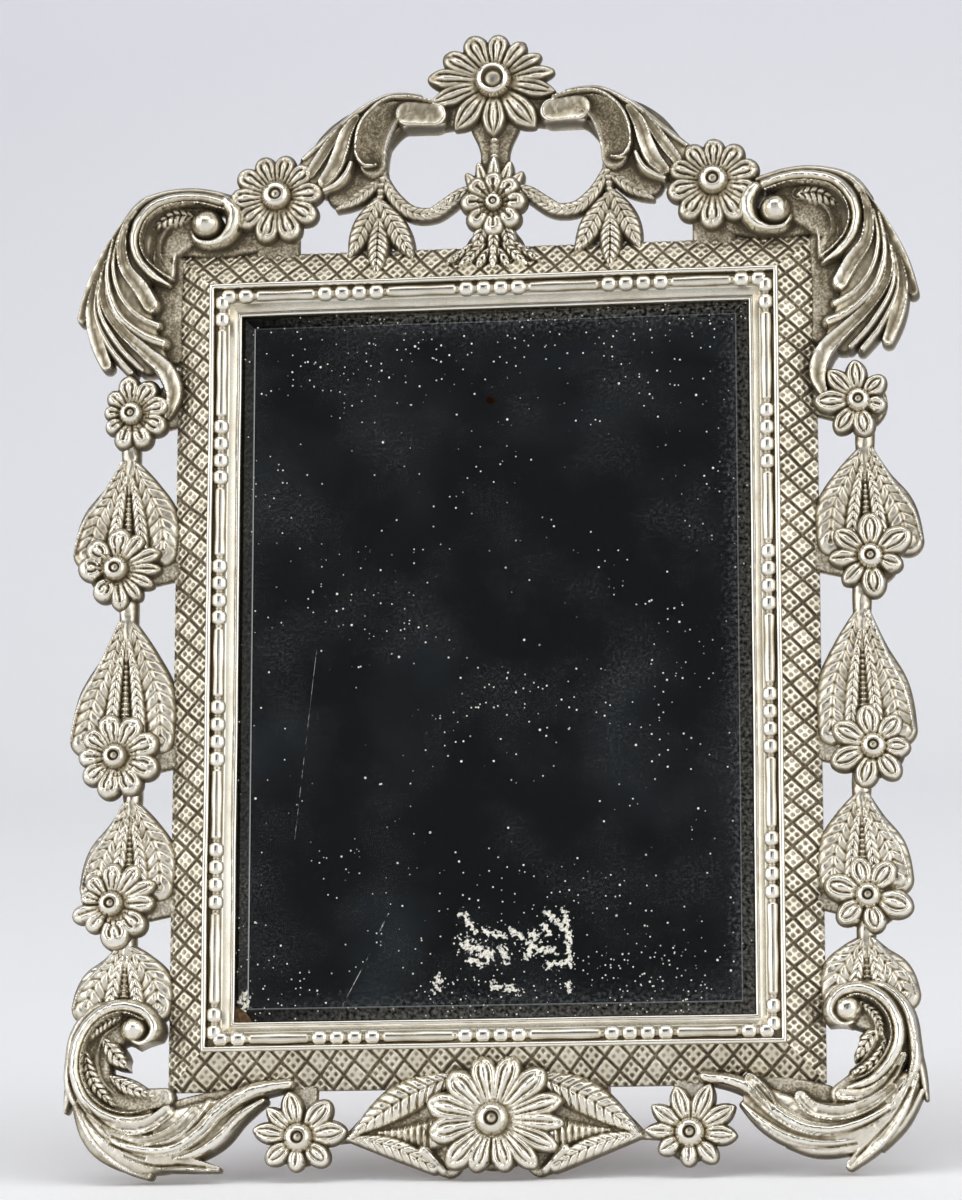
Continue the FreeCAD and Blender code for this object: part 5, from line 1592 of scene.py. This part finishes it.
@dataclass(frozen=True)
class OldMirror(Finish):
    """Silvered plate glass whose silvering has begun to fail.

    Attributes:
        silvering: Tint of the reflection.
        painted_bevel_reflection: Colour along the bevel, a painted dark reflection of the room in front of
            it.
        pale: Colour of the backing that shows where the silvering has lifted.
        dull: The same backing in thin places.
        rust: Colour of the one rusty spot.
        flakes: Ends and half width of each place where it lifts, on the flat frame in millimetres.
        straight: u of the straight side where the flakes stop.
        scratches: Ends and half width of each scratch.
        rust_spot: Place and radius of the rusty spot.
        crowded: Place of the thickest cluster of dots.
        dots: Spacing, radius, rarity and strength of each size of dot.
        inside: Half size of the flat part inside the bevel.
    """

    silvering: str = "#b4b8b9"
    painted_bevel_reflection: str = "#161717"
    pale: str = "#f0ebdc"
    dull: str = "#8f8a7b"
    rust: str = "#c9772f"
    flakes: Sequence[Streak] = (
        (20.4, -74.4, 21.7, -83.3, 1.8), (21.7, -83.3, 21.8, -89.7, 1.5), (21.4, -94.9, 22, -97.8, 1.2),
        (14.7, -74.4, 19.7, -78.9, 1.6), (14.4, -78.3, 15.6, -80.9, 1.4), (11.6, -81.4, 10.3, -86.4, 2.6),
        (12.4, -85.3, 17.3, -85.9, 1.7), (15.8, -90.3, 20.1, -89.3, 1.8), (-9.3, -74.3, -5.4, -79.7, 1.5),
        (-8.2, -83.4, -1.3, -87, 3), (-6.9, -88, -3.1, -89.5, 1.5), (2.3, -85, 3.6, -87.7, 2.2),
        (-2.9, -79.8, 3, -81.5, 1.5), (0, -95.5, 7, -97.6, 1.7), (5.1, -79.7, 7.9, -81.5, 1.6),
        (-15.7, -93, -16.5, -96.5, 1.6), (-72.4, -97.6, -72.2, -100.4, 2.4))
    straight: float = 22.6
    scratches: Sequence[Streak] = ((-30.5, -74.2, -33.4, -80, 0.3), (-36, -86, -43.4, -100, 0.16),
                                   (-43.4, -100, -45, -105.8, 0.28), (-52, 4, -58, -52, 0.08))
    rust_spot: Streak = (-1.2, 77.3, -0.8, 77.1, 1.2)
    crowded: Sequence[float] = (48, -94, 0)
    dots: Sequence[Sequence[float]] = ((4.6, 0.4, 1.26, 1.0), (2.2, 0.32, 1.36, 0.9), (1.3, 0.27, 1.42, 0.75))
    inside: Point = (71.0, 101.0)

    def surface(self, tree: Tree) -> bpy.types.Node:
        """Mirror with foxing, lifted flakes, scratches and a painted dark reflection on the bevel.

        Args:
            tree: Where its nodes go.

        Returns:
            The shader.
        """
        back = STAND.matrix().inverted()
        place = node(tree, "TexCoord").outputs["Object"]

        def sums(kind: str, *values: Any) -> Socket:
            """One step of arithmetic."""
            return node(tree, "Math", dict(enumerate(values)), operation=kind).outputs[0]

        def vectors(kind: str, out: str, first: Any, second: Any) -> Socket:
            """One step of vector arithmetic."""
            return node(tree, "VectorMath", {0: first, 1: second}, operation=kind).outputs[out]

        def above(value: Socket, low: float, high: float, most: float = 1.0) -> Socket:
            """0 below low, the most above high."""
            return ranged(tree, value, low, high, 0.0, most)

        def noise(size: float, detail: float = 3.0) -> Socket:
            """Cloudy pattern of this size in millimetres, on the flat frame."""
            return node(tree, "TexNoise",
                        {"Vector": flat, "Scale": 1 / size, "Detail": detail}).outputs["Fac"]

        def mixed(share: Socket, first: Any, second: Any) -> Socket:
            """Colour between two others."""
            return node(tree, "Mix", {0: share, 6: first, 7: second}, data_type="RGBA").outputs[2]

        def depth(streaks: Sequence[Streak]) -> Socket:
            """Measures how far inside the nearest streak a place is.

            Args:
                streaks: Ends and half width of each streak.

            Returns:
                1 on its line, 0 at its edge, less outside.
            """
            deepest = None
            for u0, v0, u1, v1, half in streaks:
                length = math.hypot(u1 - u0, v1 - v0)
                heading = ((u1 - u0) / length, (v1 - v0) / length, 0)
                start = vectors("SUBTRACT", "Vector", flat, (u0, v0, 0))
                along = above(vectors("DOT_PRODUCT", "Value", start, heading), 0, length, length)
                foot = node(tree, "VectorMath", {0: heading, "Scale": along}, operation="SCALE").outputs[0]
                away = vectors("DISTANCE", "Value", start, foot)
                fall = {0: away, 1: 0.0, 2: half, 3: 1.0, 4: 0.0}
                here = node(tree, "MapRange", fall, clamp=False).outputs[0]
                deepest = here if deepest is None else sums("MAXIMUM", deepest, here)
            return deepest

        u, v = (sums("ADD", vectors("DOT_PRODUCT", "Value", place, row[:3]), row[3]) for row in back[:2])
        flat = node(tree, "CombineXYZ", {0: u, 1: v}).outputs[0]
        # Silvering lifts in crumbs round the flakes, up to a straight side
        lifted = depth(self.flakes)
        crumbs = above(sums("MULTIPLY_ADD", lifted, 0.22, noise(1.2, 8)), 0.59, 0.7)
        bare = sums("MULTIPLY", crumbs, above(u, self.straight + 0.15, self.straight - 0.15))
        # Dots crowd at the top, round the flakes and in the lower right
        crowd = sums("ADD", noise(34), above(v, 66, 106, 0.2))
        crowd = sums("ADD", crowd, above(lifted, -10, -1, 0.4))
        corner = vectors("DISTANCE", "Value", flat, self.crowded)
        crowd = sums("ADD", crowd, above(corner, 19, 5, 0.75))
        for spacing, radius, rare, most in self.dots:
            cells = node(tree, "TexVoronoi", {"Vector": flat, "Scale": 1 / spacing})
            dot = above(cells.outputs["Distance"], radius / spacing, 0.7 * radius / spacing)
            luck = node(tree, "SeparateColor", {0: cells.outputs["Color"]}).outputs[0]
            shown = above(sums("ADD", luck, crowd), rare, rare + 0.08, most)
            bare = sums("MAXIMUM", bare, sums("MULTIPLY", dot, shown))
        lines = sums("MULTIPLY", above(depth(self.scratches), 0.0, 0.7), above(noise(3), 0.4, 0.6, 0.45))
        bare = sums("MAXIMUM", bare, lines)
        beyond = sums("MAXIMUM", *(sums("SUBTRACT", sums("ABSOLUTE", way), half)
                                   for way, half in zip((u, v), self.inside)))
        # Dirt sits along the edges, least on the left, and thin dust lies over the rest
        dirt = above(sums("MULTIPLY_ADD", beyond, 0.02, noise(1.1, 6)), 0.4, 0.8, 0.22)
        dirt = sums("MULTIPLY", dirt, above(u, -80, -30))
        bare = sums("MAXIMUM", bare, sums("MULTIPLY", dirt, above(beyond, -9, 1)))
        dust = sums("MULTIPLY", above(noise(26, 6), 0.46, 0.72), above(noise(0.8, 2), 0.42, 0.7, 0.08))
        bare = sums("MAXIMUM", bare, dust)
        # The bevel is painted near-black, a painted reflection of the dark room in front of it
        silver = mixed(above(beyond, -0.5, 0.5), linear(self.silvering), linear(self.painted_bevel_reflection))
        colour = mixed(bare, silver, ramp(tree, noise(0.7), (0.32, self.dull), (0.5, self.pale)))
        colour = mixed(above(depth([self.rust_spot]), 0.0, 0.4), colour, linear(self.rust))
        # The reflection is a little cloudy in places
        gloss = ranged(tree, noise(60, 4), 0.35, 0.7, 0.02, 0.07)
        rough = node(tree, "Mix", {0: bare, 2: gloss, 3: 0.75}, data_type="FLOAT").outputs[0]
        return node(tree, "BsdfPrincipled", {"Base Color": colour, "Metallic": sums("SUBTRACT", 1.0, bare),
                                             "Roughness": rough})


@dataclass(frozen=True)
class Cedar(Finish):
    """Oiled cedar, planed along the grain.

    Attributes:
        early: Colour of the spring wood.
        late: Colour of the summer wood.
        ring: Spacing of the growth rings, in millimetres.
        pore: Width of its pores, in millimetres.
    """

    early: str = "#8a5a35"
    late: str = "#66401f"
    ring: float = 8.88
    pore: float = 0.7

    def surface(self, tree: Tree) -> bpy.types.Node:
        """Long grain with rings, pores and a soft oil gloss.

        Args:
            tree: Where its nodes go.

        Returns:
            The shader.
        """
        place = node(tree, "TexCoord").outputs["Object"]
        along = node(tree, "Mapping", {"Vector": place, "Scale": (1.0, 1.0, 0.06)}).outputs[0]
        bend = clouds(tree, along, 28, 3)
        # Wave bands repeat at a tenth of pi, divided by their scale
        rings = {"Vector": along, "Scale": per_mm(self.ring) * math.pi / 10, "Distortion": 9.0,
                 "Detail": 4, "Detail Scale": 1.4}
        wave = node(tree, "TexWave", rings, bands_direction="X").outputs["Fac"]
        pores = clouds(tree, along, self.pore, 2)
        ring = node(tree, "Mix", {0: 0.62, 2: wave, 3: bend}, data_type="FLOAT").outputs[0]
        layers = {0: 1.0, 6: ramp(tree, ring, (0.2, self.early), (0.75, self.late)),
                  7: ranged(tree, pores, 0.58, 0.7, 1.0, 0.72)}
        colour = node(tree, "Mix", layers, data_type="RGBA", blend_type="MULTIPLY").outputs[2]
        return node(tree, "BsdfPrincipled", {
            "Base Color": colour, "Roughness": ranged(tree, pores, 0.3, 0.7, 0.38, 0.58),
            "Normal": fine_relief(tree, pores, 0.5, 0.12)})


@dataclass(frozen=True)
class Brass(Finish):
    """Cast brass that has gone brown in patches.

    Attributes:
        bright: Colour where it is rubbed.
        brown: Colour of the tarnish.
    """

    bright: str = "#c9a257"
    brown: str = "#6b4c22"

    def surface(self, tree: Tree) -> bpy.types.Node:
        """Rubbed metal with tarnish and fine file marks.

        Args:
            tree: Where its nodes go.

        Returns:
            The shader.
        """
        place = node(tree, "TexCoord").outputs["Object"]
        patches = clouds(tree, place, 5, 6)
        return node(tree, "BsdfPrincipled", {
            "Base Color": ramp(tree, patches, (0.42, self.bright), (0.68, self.brown)), "Metallic": 1.0,
            "Roughness": ranged(tree, patches, 0.35, 0.7, 0.24, 0.5),
            "Normal": fine_relief(tree, clouds(tree, place, 0.6, 2), 0.4, 0.05)})


@dataclass(frozen=True)
class Card(Finish):
    """Brown packing card, pressed from long fibres.

    Attributes:
        pale: Colour of its fibres.
        dark: Colour between them.
    """

    pale: str = "#dcb88c"
    dark: str = "#a87e52"

    def surface(self, tree: Tree) -> bpy.types.Node:
        """Matt fibrous board.

        Args:
            tree: Where its nodes go.

        Returns:
            The shader.
        """
        fibre = clouds(tree, node(tree, "TexCoord").outputs["Object"], 1.4, 6, Distortion=1.2)
        return node(tree, "BsdfPrincipled", {
            "Base Color": ramp(tree, fibre, (0.35, self.dark), (0.65, self.pale)), "Roughness": 0.85,
            "Normal": fine_relief(tree, fibre, 0.5, 0.1)})


@dataclass(frozen=True)
class StudioPaper(Finish):
    """Pale seamless paper, with painted shade that makes it a little darker up the wall.

    Attributes:
        floor: Colour of the floor.
        wall: Colour of the backdrop where the picture ends, darkened by painted shade.
    """

    floor: str = "#fdfdfe"
    wall: str = "#e6e7ec"

    def surface(self, tree: Tree) -> bpy.types.Node:
        """Matt paper whose colour follows its height in metres, a painted shade that darkens it upwards.

        Args:
            tree: Where its nodes go.

        Returns:
            The shader.
        """
        place = node(tree, "TexCoord").outputs["Object"]
        height = node(tree, "SeparateXYZ", {0: place}).outputs[2]
        uneven = {0: clouds(tree, place, 900, 2), 1: 0.12, 2: height}
        # Painted shade: the paper darkens unevenly with height
        painted_shade_height = node(tree, "Math", uneven, operation="MULTIPLY_ADD").outputs[0]
        colour = ramp(tree, painted_shade_height, (0.05, self.floor), (0.6, self.wall))
        return node(tree, "BsdfPrincipled", {"Base Color": colour, "Roughness": 0.8})


@dataclass(frozen=True)
class BlackCard(Finish):
    """Dark card with smears, which the glass reflects.

    Attributes:
        dark: Its colour.
        smear: Colour of the smears.
        smears: Number of smears across the card.
    """

    dark: str = "#0e0f10"
    smear: str = "#2c3236"
    smears: float = 4.17

    def surface(self, tree: Tree) -> bpy.types.Node:
        """Matt smeared card.

        Args:
            tree: Where its nodes go.

        Returns:
            The shader.
        """
        pattern = {"Scale": self.smears, "Detail": 4, "Distortion": 1.4}
        smears = node(tree, "TexNoise", pattern).outputs["Fac"]
        colour = ramp(tree, smears, (0.5, self.dark), (0.72, self.smear))
        return node(tree, "BsdfPrincipled", {"Base Color": colour, "Roughness": 0.9})


# Proud edges of the castings are rubbed bright, hollows keep a brown-grey tarnish
CAST = Silver("cast silver, chased and worn")
# The lattice was struck with a matting punch, so it glitters less than the castings
FROSTED = Silver("frosted silver, punched", gloss=(0.3, 0.6), grain=0.16, tones=(
    (0.2, "#efe9da"), (0.46, "#cac2af"), (0.62, "#a1977f"), (0.76, "#766b58"), (0.95, "#473e30")))
# Drawn and burnished metal: clear streaks of light along the strips and on the beads
POLISHED = Silver("polished silver wire and moulding", gloss=(0.2, 0.45), grain=0.05)
HEADS = Silver("polished silver rivet heads", gloss=(0.12, 0.5), grain=0.04)
GLASS = OldMirror("old silvered plate glass")
CEDAR = Cedar("oiled cedar")
BRASS = Brass("tarnished brass")
CARD = Card("brown packing card")
PAPER = StudioPaper("pale studio paper")
BLACK = BlackCard("black studio card")


# Stage
@dataclass(frozen=True)
class SoftBox:
    """A lamp with a wide, soft face.

    Attributes:
        name: Which lamp it is.
        spot: Its place, in metres.
        aim: What it points at, in metres.
        size: Width and height of its face, in metres.
        power: Light it gives, in watts.
    """

    name: str
    spot: Sequence[float]
    aim: Sequence[float]
    size: Point
    power: float

    def light(self) -> None:
        """Sets up the lamp."""
        data = bpy.data.lights.new(self.name, "AREA")
        data.shape, data.energy = "RECTANGLE", self.power
        data.size, data.size_y = self.size
        made = bpy.data.objects.new(self.name, data)
        made.location = self.spot
        made.rotation_euler = (Vector(self.aim) - Vector(self.spot)).to_track_quat("-Z", "Y").to_euler()
        bpy.context.scene.collection.objects.link(made)


MIDDLE = (0, 0, 0.17)
BOXES = (
    SoftBox("left_box", (-1.25, -0.75, 0.5), MIDDLE, (1.7, 2.0), 12.5),
    SoftBox("right_box", (1.3, -0.55, 0.55), MIDDLE, (1.5, 1.9), 11.0),
    SoftBox("top_box", (0.0, -0.35, 1.55), MIDDLE, (1.8, 1.0), 8.5),
    SoftBox("wall_box", (0.0, 1.1, 1.7), (0, 2.5, 0.4), (3.0, 0.8), 9.0),
)


@dataclass(frozen=True)
class Studio:
    """Pale seamless sweep, soft boxes and the camera of the photograph.

    Attributes:
        low_air: Light that comes from around the table.
        high_air: Light that comes from above.
        eye: Place of the camera, in metres.
        aim: Point in the middle of the picture, in metres.
        roll: Tilt of the camera, in degrees.
        lens: Focal length for a 36 mm frame along the picture's long side.
        near: Distance from the mirror to the front edge of the floor.
        far: Distance to the wall.
        bend: Radius between floor and wall.
        tall: Height of the wall.
        wide: Width of the sweep.
        card: Corners of the dark card.
    """

    low_air: str = "#ececee"
    high_air: str = "#8c8e92"
    eye: Sequence[float] = (0.1832, -1.5055, 0.2007)
    aim: Sequence[float] = (-0.003, -0.02, 0.1639)
    roll: float = 1.715
    lens: float = 155.25
    near: float = 6.0
    far: float = 2.6
    bend: float = 0.9
    tall: float = 3.4
    wide: float = 12.0
    card: Sequence[Sequence[float]] = ((-0.52, -1.6, 0.56), (0.1, -1.6, 0.56), (0.1, -1.35, 1.26),
                                       (-0.52, -1.35, 1.26))

    def camera(self) -> None:
        """Puts the camera where the photograph was taken from."""
        data = bpy.data.cameras.new("camera")
        data.lens = self.lens
        data.sensor_width = 36
        data.clip_start = 0.05
        made = bpy.data.objects.new("camera", data)
        bpy.context.scene.collection.objects.link(made)
        look = (Vector(self.aim) - Vector(self.eye)).to_track_quat("-Z", "Y").to_matrix().to_4x4()
        roll = Matrix.Rotation(math.radians(-self.roll), 4, "Z")
        made.matrix_world = Matrix.Translation(self.eye) @ look @ roll
        bpy.context.scene.camera = made

    def stand_in(self, name: str, points: Sequence, faces: Sequence, finish: Finish) -> bpy.types.Object:
        """Adds a piece of the stage.

        Args:
            name: Name of the piece.
            points: Its corners, in metres.
            faces: Corner numbers of each face.
            finish: Its finish.

        Returns:
            The object.
        """
        mesh = bpy.data.meshes.new(name)
        mesh.from_pydata(points, [], faces)
        mesh.shade_smooth()
        mesh.materials.append(finish.material())
        made = bpy.data.objects.new(name, mesh)
        bpy.context.scene.collection.objects.link(made)
        return made

    def backdrop(self) -> None:
        """Floor that curves up into a wall."""
        foot = self.far - self.bend
        profile = [(-self.near, 0.0), (foot, 0.0)]
        profile += [(foot + self.bend * math.sin(t), self.bend - self.bend * math.cos(t))
                    for t in np.linspace(0.1, 1.47, 12)]
        profile += [(self.far, self.bend), (self.far, self.tall)]
        points = [(x, y, z) for y, z in profile for x in (-self.wide / 2, self.wide / 2)]
        faces = [(2 * i, 2 * i + 1, 2 * i + 3, 2 * i + 2) for i in range(len(profile) - 1)]
        self.stand_in("sweep", points, faces, PAPER)

    def lights(self) -> None:
        """Soft boxes around the mirror, one for the backdrop, and a dark card that the glass reflects."""
        for box in BOXES:
            box.light()
        world = bpy.data.worlds.new("studio air")
        world.use_nodes = True
        tree = world.node_tree
        tree.nodes.clear()
        up = node(tree, "SeparateXYZ", {0: node(tree, "TexCoord").outputs["Generated"]}).outputs[2]
        air = ramp(tree, up, (0.3, self.low_air), (0.62, self.high_air))
        glow = node(tree, "Background", {"Color": air, "Strength": 0.95}).outputs[0]
        node(tree, "OutputWorld", {"Surface": glow})
        bpy.context.scene.world = world
        card = self.stand_in("dark_card", self.card, [(0, 1, 2, 3)], BLACK)
        card.visible_camera = card.visible_shadow = card.visible_diffuse = False


# The whole mirror
class TableMirror:
    """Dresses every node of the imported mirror."""

    def __init__(self) -> None:
        """Prepares the finishes."""
        self.finishes = {finish.name: finish.material()
                         for finish in (CAST, FROSTED, POLISHED, HEADS, GLASS, CEDAR, BRASS, CARD)}

    def stand_for(self, piece: bpy.types.Object, node_name: str) -> None:
        """Puts a piece in place of a CAD node on the mirror's body.

        Args:
            piece: The finer piece.
            node_name: The node that it replaces.
        """
        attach(piece, "mirror")
        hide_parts(node_name)
        log.info("%s: %d corners", piece.name, len(piece.data.vertices))

    def build_castings(self) -> None:
        """Chased castings and flowers."""
        for casting in castings():
            shell = shell_of(casting.relief(), lambda u, v, w: np.column_stack([u, v, w]), casting.back)
            piece = shell.piece(casting.node + ".chased", self.finishes[CAST.name])
            self.stand_for(piece, casting.node)

    def build_rails(self) -> None:
        """Lattice rails."""
        for rail in RAILS:
            shell = shell_of(rail.sheet(), rail.place, FLAT_BACK)
            piece = shell.piece(f"lattice_rail_{rail.side}.punched", self.finishes[FROSTED.name])
            self.stand_for(piece, f"lattice_rail_{rail.side}")

    def build_mouldings(self) -> None:
        """Sight mouldings and the bead wires in them."""
        for rail in RAILS:
            for kind, made in (("sight_moulding", Moulding()), ("bead_wire", BeadWire())):
                name = f"{kind}_{rail.side}"
                piece = made.shell(rail).piece(name + ".drawn", self.finishes[POLISHED.name], 50)
                self.stand_for(piece, name)

    def build_rivets(self) -> None:
        """Rivet heads."""
        piece = Rivets().shell(blooms()).piece("flower_rivets.turned", self.finishes[HEADS.name], 40)
        self.stand_for(piece, "flower_rivets")

    def dress_frame(self) -> None:
        """Finishes of the nodes whose shape stays."""
        dress = {"mirror_plate": GLASS, "packing_card": CARD, "back_board": CEDAR, "easel_strut": CEDAR,
                 "hinge": BRASS, "back_screws": BRASS}
        for name, piece in frame["nodes"].items():
            for start, finish in dress.items():
                if name.startswith(start):
                    piece.data.materials.clear()
                    piece.data.materials.append(self.finishes[finish.name])
                    log.info("%s: %s", name, finish.name)


def main() -> None:
    """Builds the mirror and its studio."""
    logging.basicConfig(level=logging.INFO, format="%(message)s")
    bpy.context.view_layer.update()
    mirror = TableMirror()
    mirror.build_castings()
    mirror.build_rails()
    mirror.build_mouldings()
    mirror.build_rivets()
    mirror.dress_frame()
    studio = Studio()
    studio.backdrop()
    studio.lights()
    studio.camera()
    bpy.context.scene.view_settings.view_transform = "Standard"


if __name__ == "__main__":
    main()
